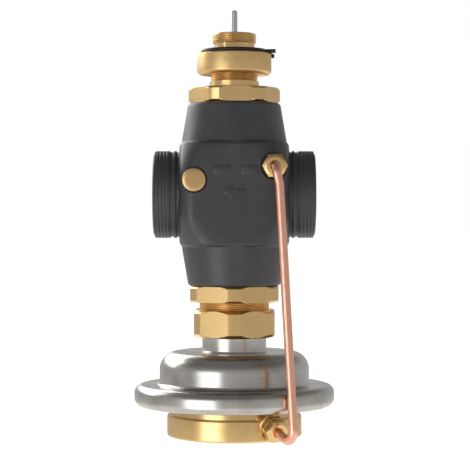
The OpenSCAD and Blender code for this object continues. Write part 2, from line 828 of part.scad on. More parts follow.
// Outline of the upper casing, drawn in by inset; its heights count from the seam
function dome_line(inset) =
    let (
        top = flange_t / 2 + dome_h - inset,
        side = dome_r - inset,
        deck = flange_t / 2 - inset,
        rim = flange_r - inset,
        shoulder = dome_shoulder_r - inset,
        foot = dome_foot_r + inset,
        edge = flange_edge_r - inset
    )
    concat([[neck_bore_r, top]],
           arc([side - shoulder, top - shoulder], shoulder, 90, 0, 10),
           arc([side + foot, deck + foot], foot, 180, 270, 5),
           arc([rim - edge, deck - edge], edge, 90, 0, 8),
           arc([rim - edge, edge - deck], edge, 360, 270, 8),
           [[hem_r, -deck]]);

module upper_casing() color([0.7, 0.7, 0.68]) {
    inside = dome_line(sheet_t);
    translate([0, 0, seam_z]) rotate_extrude()
        polygon(concat(dome_line(0), [for (i = [len(inside) - 1 : -1 : 0]) inside[i]]));
}

// Outline of the lower casing, which rests on the rolled hem of the upper one
module lower_casing() color([0.7, 0.7, 0.68]) {
    rim = flange_r - sheet_t - fit_gap;
    step_z = flange_z + sheet_t + fit_gap;
    edge = flange_edge_r - sheet_t;
    rotate_extrude() polygon(concat(
        [[base_r - base_wall, flange_z], [hem_r - hem_gap, flange_z], [hem_r - hem_gap, step_z]],
        arc([rim - edge, step_z + edge], edge, 270, 360, 6),
        [[rim, seam_z - rim_t / 2], [rim - sheet_t, seam_z - rim_t / 2]],
        arc([rim - edge, step_z + edge], edge - sheet_t, 360, 270, 4),
        [[hem_r - hem_gap - sheet_t, step_z + sheet_t], [hem_r - hem_gap - sheet_t, flange_z + sheet_t],
         [base_r - base_wall, flange_z + sheet_t]]));
}

module base_cover() color([0.8, 0.62, 0.34]) {
    room_r = base_r - base_wall;
    ring_r = room_r + (base_neck_r - room_r) * base_ring_mid_share;
    difference() {
        union() {
            rotate_extrude() polygon(concat(
                [[0, 0]],
                arc([base_r - base_edge_r, base_edge_r], base_edge_r, 270, 360, 5),
                [[base_r, drum_z - edge_chamfer], [base_r - edge_chamfer, drum_z],
                 [base_neck_r, drum_z], [base_neck_r, flange_z], [0, flange_z]]));
            intersection() {
                on_base() translate([0, 0, -lower_boss_l])
                    cylinder(r = lower_boss_r, h = lower_boss_l + lower_seat_t);
                cylinder(r = flange_r, h = flange_z);
            }
        }
        translate([0, 0, base_floor]) cylinder(r = room_r, h = flange_z);
        translate([0, 0, flange_z]) o_ring(ring_r, base_ring_r + fit_gap);
        on_base() translate([0, 0, lower_seat_t]) cylinder(r = spot_r, h = spot_l);
        on_base() translate([0, 0, lower_seat_t - stud_l]) cylinder(r = stud_r, h = stud_l + cut);
        on_base() translate([0, 0, -base_wall - 2 * cut])
            cylinder(r = tap_drill_r, h = base_wall + 2 * cut);
    }
}

module base_o_ring() color([0.1, 0.1, 0.1]) {
    room_r = base_r - base_wall;
    ring_r = room_r + (base_neck_r - room_r) * base_ring_mid_share;
    intersection() {
        translate([0, 0, flange_z]) o_ring(ring_r, base_ring_r);
        translate([0, 0, flange_z - base_ring_r - cut]) cylinder(r = base_r, h = base_ring_r + cut);
    }
}

module diaphragm() color([0.13, 0.13, 0.13]) {
    span = roll_r1 - roll_r0;
    bottom = [for (i = [0 : roll_steps])
        [roll_r0 + span * i / roll_steps,
         seam_z - roll_t / 2 - roll_sag * (1 - cos(360 * i / roll_steps)) / 2]];
    top = [for (i = [roll_steps : -1 : 0]) bottom[i] + [0, roll_t]];
    bead_r = flange_edge_r - sheet_t;
    rim_r = roll_r1 + rim_w;
    bead_z = flange_top_z - sheet_t - bead_r;
    rotate_extrude() polygon(concat(
        [[regulator_stud_r + fit_gap, diaphragm_z], [roll_r0, diaphragm_z]], bottom,
        [[roll_r1, seam_z - rim_t / 2 + fit_gap], [rim_r - fit_gap, seam_z - rim_t / 2 + fit_gap]],
        arc([rim_r - bead_r, bead_z], bead_r - fit_gap, 0, 90, 6),
        [[roll_r1, flange_top_z - sheet_t - fit_gap]], top,
        [[roll_r0, diaphragm_z + diaphragm_t],
         [regulator_stud_r + fit_gap, diaphragm_z + diaphragm_t]]));
}

module regulator_spring() color([0.72, 0.73, 0.75])
    coil(dome_spring_mean_r, dome_spring_wire_r,
         diaphragm_z + diaphragm_t + plate_t + fit_gap, dome_z - sheet_t - fit_gap,
         dome_spring_turns);

module control_stem() color([0.78, 0.79, 0.8]) {
    shoulder_z = washer_z + washer_t + clip_t + cut;
    groove_z = washer_z + washer_t;
    rotate_extrude() polygon([
        [0, control_nut_z - cone_stem_over], [stem_r, control_nut_z - cone_stem_over],
        [stem_r, groove_z], [clip_groove_r, groove_z], [clip_groove_r, groove_z + clip_t],
        [stem_r, groove_z + clip_t], [stem_r, shoulder_z], [stem_journal_r, shoulder_z],
        [stem_journal_r, spigot_top_z + seat_gap], [stem_tip_r, spigot_top_z + seat_gap],
        [stem_tip_r, stem_top_z - edge_chamfer], [stem_tip_r - edge_chamfer, stem_top_z],
        [0, stem_top_z]]);
}

// Cone disc with its plug, the seal groove facing the seat
module cone_blank(bore_r) {
    difference() {
        union() {
            cylinder(r = cone_disc_r, h = cone_disc_t);
            translate([0, 0, -cone_plug_l]) cylinder(r = cone_plug_r, h = cone_plug_l + cut);
        }
        translate([0, 0, -cone_plug_l - cut])
            cylinder(r = bore_r, h = cone_plug_l + cone_disc_t + 2 * cut);
        translate([0, 0, -cut]) ring(cone_seal_r, seat_bore_r - seat_gap, cone_seal_t + cut);
    }
}

module cone_seal() {
    ring(cone_seal_r - fit_gap, seat_bore_r - seat_gap + fit_gap, cone_seal_t);
}

module control_cone() color([0.75, 0.72, 0.6]) {
    difference() {
        union() {
            translate([0, 0, control_disc_z]) cone_blank(stem_r + fit_gap);
            translate([0, 0, control_disc_z + cone_disc_t - cut])
                cylinder(r = cone_neck_r, h = control_neck_top_z - control_disc_z - cone_disc_t + 2 * cut);
            translate([0, 0, control_neck_top_z]) cylinder(r = piston_r, h = piston_h);
        }
        translate([0, 0, control_disc_z - cut])
            cylinder(r = stem_r + fit_gap, h = control_neck_top_z + piston_h - control_disc_z + 2 * cut);
        translate([0, 0, control_neck_top_z + piston_h - piston_ring_drop - piston_ring_h])
            ring(piston_r + cut, piston_r - piston_ring_depth, piston_ring_h);
        for (i = [0 : relief_holes - 1]) rotate([0, 0, 360 * i / relief_holes])
            translate([relief_ring_r, 0, control_disc_z - cone_plug_l - cut])
                cylinder(r = relief_hole_r, h = body_half_h, $fn = 24);
    }
}

module control_cone_seal() color([0.1, 0.1, 0.1])
    translate([0, 0, control_disc_z]) cone_seal();

module piston_ring() color([0.85, 0.85, 0.8])
    translate([0, 0, control_neck_top_z + piston_h - piston_ring_drop - piston_ring_h + fit_gap])
        ring(balance_r - fit_gap, piston_r - piston_ring_depth + fit_gap,
             piston_ring_h - 2 * fit_gap);

module control_cone_nut() color([0.72, 0.73, 0.75])
    translate([0, 0, control_nut_z]) difference() {
        nut_blank(cone_nut_flats, cone_nut_h, full_corner(cone_nut_flats), edge_chamfer);
        translate([0, 0, -cut]) cylinder(r = stem_r + fit_gap, h = cone_nut_h + 2 * cut);
    }

module spring_washer() color([0.72, 0.73, 0.75])
    translate([0, 0, washer_z]) ring(washer_r, stem_r + fit_gap, washer_t);

module stem_clip() color([0.55, 0.56, 0.58])
    translate([0, 0, washer_z + washer_t + fit_gap]) difference() {
        ring(clip_r, clip_groove_r + fit_gap, clip_t - 2 * fit_gap);
        translate([0, -clip_groove_r / 2, -cut]) cube([clip_r + cut, clip_groove_r, clip_t + 2 * cut]);
    }

module actuator_spigot() color([0.8, 0.62, 0.34]) {
    shoulder_z = collar_top_z - shoulder_h;
    foot_z = shoulder_z - sleeve_l;
    difference() {
        union() {
            translate([0, 0, foot_z]) cylinder(r = spring_room_r - fit_gap, h = sleeve_l + cut);
            translate([0, 0, shoulder_z + fit_gap])
                cylinder(r = shoulder_r, h = shoulder_h - 2 * fit_gap);
            intersection() {
                translate([0, 0, collar_top_z - cut])
                    cylinder(r = spigot_waist_r, h = spigot_under_h + 2 * cut);
                translate([-spigot_thread_r, -spigot_flats / 2, collar_top_z - 2 * cut])
                    cube([2 * spigot_thread_r, spigot_flats, spigot_under_h + 4 * cut]);
            }
            translate([0, 0, spigot_thread_z]) cylinder(
                r = spigot_thread_r, h = spigot_thread_h - spigot_chamfer);
            translate([0, 0, spigot_top_z - spigot_chamfer]) cylinder(
                r1 = spigot_thread_r, r2 = spigot_thread_r - spigot_chamfer, h = spigot_chamfer);
            translate([0, -key_w / 2, foot_z])
                cube([spring_room_r + key_depth, key_w, key_h]);
        }
        translate([0, 0, foot_z - cut])
            cylinder(r = sleeve_bore_r, h = sleeve_l + shoulder_h + spigot_room_h + cut);
        translate([0, 0, collar_top_z])
            cylinder(r = spigot_relief_r, h = spigot_top_z - spigot_guide_h - collar_top_z);
        translate([0, 0, collar_top_z])
            cylinder(r = stem_journal_r + fit_gap, h = spigot_top_z);
    }
}

module setting_collar() color([0.8, 0.62, 0.34]) {
    difference() {
        translate([0, 0, collar_z]) rotate_extrude()
            polygon([[0, 0], [collar_r - collar_chamfer, 0], [collar_r, collar_chamfer],
                     [collar_r, collar_h - edge_chamfer], [collar_r - edge_chamfer, collar_h],
                     [0, collar_h]]);
        translate([0, 0, collar_z - cut])
            cylinder(r = collar_recess_r, h = collar_recess_h + cut);
        translate([0, 0, collar_z]) cylinder(r = collar_thread_r + fit_gap, h = web_z - collar_z);
        translate([0, 0, web_z - cut]) cylinder(r = spring_room_r, h = collar_h);
        translate([0, 0, collar_top_z - shoulder_h])
            cylinder(r = shoulder_r + fit_gap, h = shoulder_h + cut);
        rotate([0, 0, clip_hook_turn])
            translate([clip_mean_r + clip_wire_d / 2, 0, collar_top_z - clip_hook_drop])
                clip_hook_slot();
    }
}

// Slot in the collar's rim that the snap ring's bent end sits in
module clip_hook_slot() {
    w = clip_wire_d + 2 * clip_hole_gap;
    translate([-w / 2, -w / 2, 0]) cube([collar_r, w, clip_hook_drop + cut]);
}

// Point at radius r, angle a and height z
function polar(r, a, z) = [r * cos(a), r * sin(a), z];

module snap_ring() color([0.08, 0.08, 0.08]) {
    wire_r = clip_wire_d / 2;
    wire_z = collar_top_z + wire_r + fit_gap;
    hook_z = collar_top_z - clip_hook_drop + wire_r + clip_hole_gap;
    sweep = 360 + clip_arm_turn - clip_hook_turn;
    hook_end = polar(clip_hook_reach, clip_hook_turn, hook_z);
    hook_low = polar(clip_hook_reach - wire_r, clip_hook_turn, hook_z);
    hook_high = polar(clip_rise_r, clip_hook_turn, wire_z);
    arm_end = polar(clip_arm_reach, clip_arm_turn, wire_z);
    around = [for (i = [0 : clip_steps])
        polar(clip_mean_r, clip_hook_turn + sweep * i / clip_steps, wire_z)];
    path = concat(
        [hook_end],
        bend(hook_end, hook_low, hook_high, wire_r / 2, 3),
        bend(hook_low, hook_high, around[0], wire_r / 2, 3),
        bend(hook_high, around[0], around[1], wire_r, 4),
        [for (i = [1 : clip_steps - 1]) around[i]],
        bend(around[clip_steps - 1], around[clip_steps], arm_end, wire_r, 4),
        [arm_end]);
    rod(path, wire_r, tube_sides, [0, 0, 1]);
}

module regulator_stem() color([0.78, 0.79, 0.8]) {
    stud_top_z = diaphragm_z + diaphragm_t + plate_t;
    stud_z = diaphragm_z - plate_t - plate_nut_h - stud_over;
    top_z = regulator_nut_z + cone_nut_h + cone_stem_over;
    vent_z = stud_top_z + dome_h / 2;
    difference() {
        union() {
            translate([0, 0, stud_top_z])
                cylinder(r = regulator_stem_r, h = regulator_disc_z - cone_disc_t - stud_top_z);
            translate([0, 0, stud_z]) cylinder(r = regulator_stud_r, h = top_z - stud_z);
        }
        translate([0, 0, vent_z]) cylinder(r = regulator_bore_r, h = top_z - vent_z + cut, $fn = 24);
        translate([0, -regulator_stem_r - cut, vent_z + regulator_bore_r]) rotate([-90, 0, 0])
            cylinder(r = regulator_bore_r, h = 2 * (regulator_stem_r + cut), $fn = 24);
    }
}

module regulator_cone() color([0.75, 0.72, 0.6])
    difference() {
        union() {
            translate([0, 0, regulator_disc_z]) mirror([0, 0, 1]) cone_blank(regulator_stud_r + fit_gap);
            translate([0, 0, regulator_disc_z - cone_disc_t - regulator_hub_h])
                cylinder(r = cone_neck_r, h = regulator_hub_h + cut);
        }
        translate([0, 0, regulator_disc_z - cone_disc_t - regulator_hub_h - cut])
            cylinder(r = regulator_stem_r + fit_gap, h = regulator_hub_h + cut);
        translate([0, 0, regulator_disc_z - cone_disc_t - cut])
            cylinder(r = regulator_stud_r + fit_gap, h = cone_disc_t + 2 * cut);
    }

module regulator_cone_seal() color([0.1, 0.1, 0.1])
    translate([0, 0, regulator_disc_z]) mirror([0, 0, 1]) cone_seal();

module regulator_cone_nut() color([0.72, 0.73, 0.75])
    translate([0, 0, regulator_nut_z]) difference() {
        nut_blank(cone_nut_flats, cone_nut_h, full_corner(cone_nut_flats), edge_chamfer);
        translate([0, 0, -cut]) cylinder(r = regulator_stud_r + fit_gap, h = cone_nut_h + 2 * cut);
    }

// Plate that stiffens the diaphragm, its rounded rim away from the rubber
module plate() {
    rotate_extrude() polygon(concat(
        [[regulator_stud_r + fit_gap, 0], [plate_r, 0]],
        arc([plate_r - plate_edge_r, plate_t - plate_edge_r], plate_edge_r, 0, 90, 4),
        [[regulator_stud_r + fit_gap, plate_t]]));
}

module upper_plate() color([0.72, 0.73, 0.75])
    translate([0, 0, diaphragm_z + diaphragm_t]) plate();

module lower_plate() color([0.72, 0.73, 0.75])
    translate([0, 0, diaphragm_z]) mirror([0, 0, 1]) plate();

module plate_nut() color([0.72, 0.73, 0.75])
    translate([0, 0, diaphragm_z - plate_t - plate_nut_h]) difference() {
        nut_blank(plate_nut_flats, plate_nut_h, full_corner(plate_nut_flats), edge_chamfer);
        translate([0, 0, -cut]) cylinder(r = regulator_stud_r + fit_gap, h = plate_nut_h + 2 * cut);
    }

valve_body();
control_seat();
regulator_seat();
bonnet();
bonnet_o_ring();
gland_bush();
gland_o_rings();
return_spring();
test_plug();
test_plug_washer();
upper_fitting_body();
upper_ferrule();
upper_fitting_nut();
impulse_tube();
lower_fitting_body();
lower_ferrule();
lower_fitting_nut();
lower_insert();
insert_o_ring();
guide_bush();
guide_o_rings();
union_nut();
neck_gasket();
casing_neck();
upper_casing();
lower_casing();
base_cover();
base_o_ring();
diaphragm();
regulator_spring();
control_stem();
control_cone();
control_cone_seal();
piston_ring();
control_cone_nut();
spring_washer();
stem_clip();
actuator_spigot();
setting_collar();
snap_ring();
regulator_stem();
regulator_cone();
regulator_cone_seal();
regulator_cone_nut();
upper_plate();
lower_plate();
plate_nut();
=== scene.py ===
"""Looks of a pressure independent control valve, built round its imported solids.

Sizes in the classes are millimetres in the frame of the solids: Z up along the stem,
X along the ports, the front towards -Y. They become metres when a piece is made.
"""

import logging
import math
from dataclasses import dataclass, field
from enum import Enum
from typing import Callable, Sequence

import bmesh
import bpy
from mathutils import Matrix, Vector


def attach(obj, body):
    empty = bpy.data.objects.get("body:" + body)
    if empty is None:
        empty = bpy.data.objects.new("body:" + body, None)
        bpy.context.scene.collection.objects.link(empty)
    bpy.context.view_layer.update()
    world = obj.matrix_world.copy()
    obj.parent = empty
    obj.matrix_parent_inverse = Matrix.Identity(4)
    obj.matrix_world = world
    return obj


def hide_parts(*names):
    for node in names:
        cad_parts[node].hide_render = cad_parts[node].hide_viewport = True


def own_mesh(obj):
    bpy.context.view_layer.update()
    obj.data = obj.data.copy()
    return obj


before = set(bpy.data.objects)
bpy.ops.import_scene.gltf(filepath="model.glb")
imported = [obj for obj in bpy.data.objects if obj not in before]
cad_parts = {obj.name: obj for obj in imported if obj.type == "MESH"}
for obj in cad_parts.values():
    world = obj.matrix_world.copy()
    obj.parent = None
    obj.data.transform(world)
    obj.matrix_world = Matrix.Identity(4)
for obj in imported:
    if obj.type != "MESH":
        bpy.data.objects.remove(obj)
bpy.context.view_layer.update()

LOG = logging.getLogger("valve")
MM = 0.001
PORT_Z = 164.6
BODY_TOP_Z = 226.8
BODY_FOOT_Z = 102.4
BASE_R = 46.0
FITTING_Z = 10.8
FITTING_AZIMUTH = 31.8
FITTING_DROOP = 22.0
FINE_PITCH = 1.5
PORT_PITCH = 2.309
THREAD_SHARE = 0.34
PORT_THREAD_SHARE = 0.13
THREAD_SHARP = 60.0
HEX_SHARP = 16.0
HEX_CHAMFER = 1.6
CORNER_ROOM = 0.46
CORNER_TRIM = 0.06

Outline = Sequence[Sequence[float]]


class Axis(Enum):
    """The line that a turned piece was turned about."""

    X = "X"
    Y = "Y"
    Z = "Z"


def rgb(red: int, green: int, blue: int) -> tuple[float, float, float, float]:
    """Turns a screen colour into the linear colour that shaders take.

    Args:
        red: Red, 0 to 255.
        green: Green, 0 to 255.
        blue: Blue, 0 to 255.

    Returns:
        The linear colour with an alpha of 1.
    """
    def linear(value: int) -> float:
        """Undoes the screen curve of one channel."""
        share = value / 255
        return share / 12.92 if share <= 0.04045 else ((share + 0.055) / 1.055) ** 2.4

    return linear(red), linear(green), linear(blue), 1.0


def operator(operation: str) -> Callable[["Value", "Value | float"], "Value"]:
    """Makes the method behind an arithmetic sign."""
    return lambda value, other: value.math(operation, other)


class Value:
    """A node's output socket that takes part in Python arithmetic."""

    def __init__(self, graph: "Graph", socket: bpy.types.NodeSocket) -> None:
        """Keeps the graph and the socket."""
        self.graph = graph
        self.socket = socket

    def math(self, operation: str, *others: "Value | float", clamp: bool = False) -> "Value":
        """Adds a Math node that starts from this value.

        Args:
            operation: The Math node's operation.
            *others: Its further inputs.
            clamp: Whether the result is kept between 0 and 1.

        Returns:
            The node's output.
        """
        settings = {"operation": operation, "use_clamp": clamp}
        return self.graph.node("ShaderNodeMath", settings, dict(enumerate((self, *others))))

    def __rsub__(self, other: float) -> "Value":
        """Subtracts this from a number."""
        settings = {"operation": "SUBTRACT"}
        return self.graph.node("ShaderNodeMath", settings, {0: other, 1: self})

    __add__ = __radd__ = operator("ADD")
    __sub__ = operator("SUBTRACT")
    __mul__ = __rmul__ = operator("MULTIPLY")
    __truediv__ = operator("DIVIDE")
    __pow__ = operator("POWER")

    def clamped(self) -> "Value":
        """Keeps the value between 0 and 1."""
        return self.math("ADD", 0.0, clamp=True)

    def ramp(self, low: float, high: float) -> "Value":
        """Rises smoothly from 0 at low to 1 at high.

        Args:
            low: The value that gives 0.
            high: The value that gives 1.

        Returns:
            The smooth step.
        """
        settings = {"interpolation_type": "SMOOTHSTEP"}
        return self.graph.node("ShaderNodeMapRange", settings, {0: self, 1: low, 2: high, 3: 0.0, 4: 1.0})


class Graph:
    """A node tree that is filled through one method."""

    def __init__(self, tree: bpy.types.NodeTree) -> None:
        """Keeps the tree."""
        self.tree = tree

    def node(
        self,
        kind: str,
        settings: dict[str, object] | None = None,
        inputs: dict[int | str, object] | None = None,
        output: int | str = 0,
    ) -> Value:
        """Adds a node.

        Args:
            kind: The node's type.
            settings: Its settings, set before its sockets.
            inputs: Values or links for its sockets, by number or name.
            output: The output that the caller wants.

        Returns:
            That output.
        """
        made = self.tree.nodes.new(kind)
        for name, setting in (settings or {}).items():
            setattr(made, name, setting)
        for key, value in (inputs or {}).items():
            if isinstance(value, Value):
                self.tree.links.new(value.socket, made.inputs[key])
            else:
                made.inputs[key].default_value = value
        return Value(self, made.outputs[output])

    def split(self, vector: Value) -> tuple[Value, Value, Value]:
        """Takes a vector apart.

        Args:
            vector: The vector.

        Returns:
            Its X, Y and Z.
        """
        first = self.node("ShaderNodeSeparateXYZ", None, {0: vector})
        outputs = first.socket.node.outputs
        return first, Value(self, outputs[1]), Value(self, outputs[2])

    def vector(self, x: Value | float, y: Value | float, z: Value | float) -> Value:
        """Puts a vector together."""
        return self.node("ShaderNodeCombineXYZ", None, {0: x, 1: y, 2: z})

    def mix(self, factor: Value | float, first: object, second: object) -> Value:
        """Mixes two colours.

        Args:
            factor: How much of the second colour shows.
            first: A colour or a link.
            second: A colour or a link.

        Returns:
            The mixed colour.
        """
        return self.node("ShaderNodeMix", {"data_type": "RGBA"}, {0: factor, 6: first, 7: second}, 2)

    def noise(self, place: Value, scale: float, detail: float = 2.0, rough: float = 0.5) -> Value:
        """Adds a noise texture.

        Args:
            place: Where it is read, in millimetres.
            scale: Its scale, in features for each millimetre.
            detail: Its octaves.
            rough: How strong the finer octaves are.

        Returns:
            The noise, around 0.5.
        """
        sockets = {"Vector": place, "Scale": scale, "Detail": detail, "Roughness": rough}
        return self.node("ShaderNodeTexNoise", None, sockets)

    def place(self, axis: Axis = Axis.Z, centre: Sequence[float] = (0, 0, 0),
              turn: Sequence[float] = (0, 0, 0)) -> Value:
        """Gives the place on the piece in millimetres, with the piece's own axis along Z.

        Args:
            axis: The piece's axis.
            centre: A point on the axis, in millimetres.
            turn: A further turn about X, Y and Z, in degrees, for a slanted piece.

        Returns:
            The turned place.
        """
        turns = {Axis.X: (0, 90, 0), Axis.Y: (90, 0, 0), Axis.Z: (0, 0, 0)}[axis]
        angles = [math.radians(a + b) for a, b in zip(turns, turn)]
        raw = self.node("ShaderNodeTexCoord", None, None, "Object")
        sockets = {"Vector": raw, "Location": [c * MM for c in centre], "Rotation": angles}
        mapped = self.node("ShaderNodeMapping", {"vector_type": "TEXTURE"}, sockets)
        return self.node("ShaderNodeVectorMath", {"operation": "SCALE"}, {0: mapped, "Scale": 1000.0})


@dataclass(frozen=True)
class Finish:
    """What every finish has."""

    name: str
    colour: tuple[float, float, float, float]
    roughness: float
    metallic: float = 0.0
    coat: float = 0.0
    coat_roughness: float = 0.2
    specular: float = 0.5

    def material(self) -> bpy.types.Material:
        """Builds the material, once for each name.

        Returns:
            The material.
        """
        label = f"{self.name}_finish"
        known = bpy.data.materials.get(label)
        if known:
            return known
        made = bpy.data.materials.new(label)
        made.use_nodes = True
        shader = made.node_tree.nodes["Principled BSDF"]
        shader.inputs["Base Color"].default_value = self.colour
        shader.inputs["Roughness"].default_value = self.roughness
        shader.inputs["Metallic"].default_value = self.metallic
        shader.inputs["Coat Weight"].default_value = self.coat
        shader.inputs["Coat Roughness"].default_value = self.coat_roughness
        shader.inputs["Specular IOR Level"].default_value = self.specular
        made.diffuse_color = self.colour
        self.paint(Graph(made.node_tree), shader)
        return made

    def paint(self, graph: Graph, shader: bpy.types.Node) -> None:
        """Adds the finish's own detail. A plain finish gets a fine mottle."""
        place = graph.place()
        mottle = graph.noise(place, 0.4, 4)
        tone = graph.mix(mottle.ramp(0.3, 0.75), self.colour, [0.7 * c for c in self.colour[:3]] + [1])
        worn = self.roughness + (mottle - 0.5) * 0.2
        self.dress(graph, shader, tone, worn, (graph.noise(place, 3.0, 3), 0.02, 0.25))

    @staticmethod
    def dress(graph: Graph, shader: bpy.types.Node, tone: Value, worn: Value,
              *bumps: tuple[Value, float, float]) -> None:
        """Links tone, roughness and bumps to the shader.

        Args:
            graph: The material's graph.
            shader: Its shader.
            tone: The base colour.
            worn: The roughness.
            *bumps: The height, depth in millimetres and strength of each bump.
        """
        normal = None
        for height, depth, strength in bumps:
            sockets = {"Height": height, "Distance": depth * MM, "Strength": strength}
            if normal:
                sockets["Normal"] = normal
            normal = graph.node("ShaderNodeBump", None, sockets)
        for socket, value in (("Base Color", tone), ("Roughness", worn.clamped()), ("Normal", normal)):
            graph.tree.links.new(value.socket, shader.inputs[socket])


@dataclass(frozen=True)
class TurnedMetal(Finish):
    """Bare metal from the lathe: fine rings round the axis, and a soft tarnish."""

    metallic: float = 1.0
    axis: Axis = Axis.Z
    centre: tuple[float, float, float] = (0, 0, 0)
    turn: tuple[float, float, float] = (0, 0, 0)
    tarnish: tuple[float, float, float, float] = (0.3, 0.2, 0.1, 1)
    tarnish_share: float = 0.35
    ring_depth: float = 0.012
    ring_scale: float = 2.2

    def paint(self, graph: Graph, shader: bpy.types.Node) -> None:
        """Adds rings, tarnish and handling marks."""
        place = graph.place(self.axis, self.centre, self.turn)
        x, y, z = graph.split(place)
        reach = (x * x + y * y) ** 0.5
        rings = graph.noise(graph.vector(reach * self.ring_scale, x * 0.02, z * self.ring_scale), 1.0, 4, 0.65)
        clouds = graph.noise(place, 0.09, 5, 0.6)
        specks = graph.noise(place, 1.1, 3, 0.7)
        film = (clouds.ramp(0.42, 0.72) * 0.75 + specks.ramp(0.62, 0.8) * 0.25) * self.tarnish_share
        tone = graph.mix(film, self.colour, self.tarnish)
        streaked = graph.mix(rings.ramp(0.35, 0.7) * 0.16, tone, self.tarnish)
        worn = self.roughness + (clouds - 0.5) * 0.22 + (rings - 0.5) * 0.18
        self.dress(graph, shader, streaked, worn, (rings, self.ring_depth * 0.6, 0.4), (specks, 0.004, 0.12))


@dataclass(frozen=True)
class MilledMetal(TurnedMetal):
    """Hexagon stock: level drawing marks on the flats, and small knocks."""

    def paint(self, graph: Graph, shader: bpy.types.Node) -> None:
        """Adds drawing marks, tarnish and knocks."""
        place = graph.place(self.axis, self.centre, self.turn)
        x, y, z = graph.split(place)
        marks = graph.noise(graph.vector(x * 0.03, y * 0.03, z * 3.0), 1.0, 4, 0.7)
        clouds = graph.noise(place, 0.07, 5, 0.6)
        knocks = graph.node("ShaderNodeTexVoronoi", {"feature": "F1"}, {"Vector": place, "Scale": 0.33})
        dents = 1 - knocks.ramp(0.02, 0.16)
        film = clouds.ramp(0.4, 0.75) * self.tarnish_share
        tone = graph.mix(film, self.colour, self.tarnish)
        streaked = graph.mix(marks.ramp(0.3, 0.75) * 0.12, tone, self.tarnish)
        worn = self.roughness + (clouds - 0.5) * 0.2 + (marks - 0.5) * 0.14
        self.dress(graph, shader, streaked, worn, (marks, 0.004, 0.25), (1 - dents * 0.5, 0.01, 0.15))


@dataclass(frozen=True)
class PressedSteel(TurnedMetal):
    """Deep drawn stainless sheet: spun rings, faint draw lines and a dull grain."""

    def paint(self, graph: Graph, shader: bpy.types.Node) -> None:
        """Adds spun rings, draw lines and grain."""
        place = graph.place(self.axis, self.centre, self.turn)
        x, y, z = graph.split(place)
        reach = (x * x + y * y) ** 0.5
        rings = graph.noise(graph.vector(reach * 1.6, y * 0.01, z * 1.6), 1.0, 4, 0.6)
        around = graph.vector(x / reach * 60, y / reach * 60, z * 0.05)
        draw_lines = graph.noise(around, 1.0, 3, 0.6)
        clouds = graph.noise(place, 0.05, 4, 0.55)
        tone = graph.mix(clouds.ramp(0.35, 0.7) * self.tarnish_share, self.colour, self.tarnish)
        streaked = graph.mix(rings.ramp(0.4, 0.7) * 0.15, tone, self.tarnish)
        worn = self.roughness + (clouds - 0.5) * 0.12 + (rings - 0.5) * 0.12 + (draw_lines - 0.5) * 0.08
        self.dress(graph, shader, streaked, worn, (rings, self.ring_depth * 0.5, 0.25), (draw_lines, 0.004, 0.1))


@dataclass(frozen=True)
class DrawnMetal(TurnedMetal):
    """Drawn tube or wire: streaks along its length and a mottled skin."""

    def paint(self, graph: Graph, shader: bpy.types.Node) -> None:
        """Adds streaks and mottle."""
        place = graph.place()
        x, y, z = graph.split(place)
        streaks = graph.noise(graph.vector(x * 2.5, y * 2.5, z * 0.06), 1.0, 3, 0.6)
        mottle = graph.noise(place, 0.16, 5, 0.65)
        film = (streaks.ramp(0.35, 0.7) * 0.4 + mottle.ramp(0.4, 0.7) * 0.6) * self.tarnish_share
        worn = self.roughness + (mottle - 0.5) * 0.25 + (streaks - 0.5) * 0.12
        self.dress(graph, shader, graph.mix(film, self.colour, self.tarnish), worn, (streaks, 0.012, 0.3))


@dataclass(frozen=True)
class CastCoating(Finish):
    """Dark coating over a sand casting: orange peel, soft waves and rubbed spots."""

    rubbed: tuple[float, float, float, float] = (0.1, 0.1, 0.1, 1)
    grain_depth: float = 0.09

    def paint(self, graph: Graph, shader: bpy.types.Node) -> None:
        """Adds the cast grain under the coating and the rubbed spots on it."""
        place = graph.place()
        grain = graph.noise(place, 0.85, 4, 0.6)
        waves = graph.noise(place, 0.12, 3, 0.5)
        pits = graph.node("ShaderNodeTexVoronoi", {"feature": "SMOOTH_F1"}, {"Vector": place, "Scale": 0.9})
        skin = grain * 0.55 + waves * 0.6 + pits * 0.2
        spots = graph.noise(place, 0.3, 5, 0.7)
        rub = spots.ramp(0.6, 0.78) * 0.3 + waves.ramp(0.4, 0.75) * 0.35
        worn = self.roughness + (waves - 0.5) * 0.25 + (grain - 0.5) * 0.18
        self.dress(graph, shader, graph.mix(rub, self.colour, self.rubbed), worn, (skin, self.grain_depth, 0.35))


BRASS_TONE = rgb(226, 190, 132)
BRASS_DARK = rgb(176, 136, 78)
TURNED_BRASS = TurnedMetal("turned_brass", BRASS_TONE, 0.3, tarnish=BRASS_DARK)
COLLAR_BRASS = TurnedMetal("collar_brass", BRASS_TONE, 0.4, tarnish=BRASS_DARK)
MILLED_BRASS = MilledMetal("milled_brass", BRASS_TONE, 0.25, tarnish=BRASS_DARK, tarnish_share=0.2)
THREAD_BRASS = TurnedMetal("thread_brass", rgb(226, 186, 128), 0.36, tarnish=rgb(160, 116, 62), tarnish_share=0.4)
INNER_BRASS = TurnedMetal("inner_brass", BRASS_TONE, 0.35, tarnish=BRASS_DARK, tarnish_share=0.2)
STAINLESS = PressedSteel("stainless_sheet", rgb(190, 186, 179), 0.25, tarnish=rgb(140, 136, 130), tarnish_share=0.5)
STAINLESS_NECK = TurnedMetal("stainless_neck", rgb(196, 192, 184), 0.26, tarnish=rgb(140, 136, 130), ring_scale=1.2)
GROUND_STEEL = TurnedMetal("ground_steel", rgb(190, 190, 190), 0.2, tarnish=rgb(140, 140, 140), tarnish_share=0.2)
SPRING_STEEL = DrawnMetal("spring_steel", rgb(150, 150, 152), 0.35, tarnish=rgb(90, 90, 92))
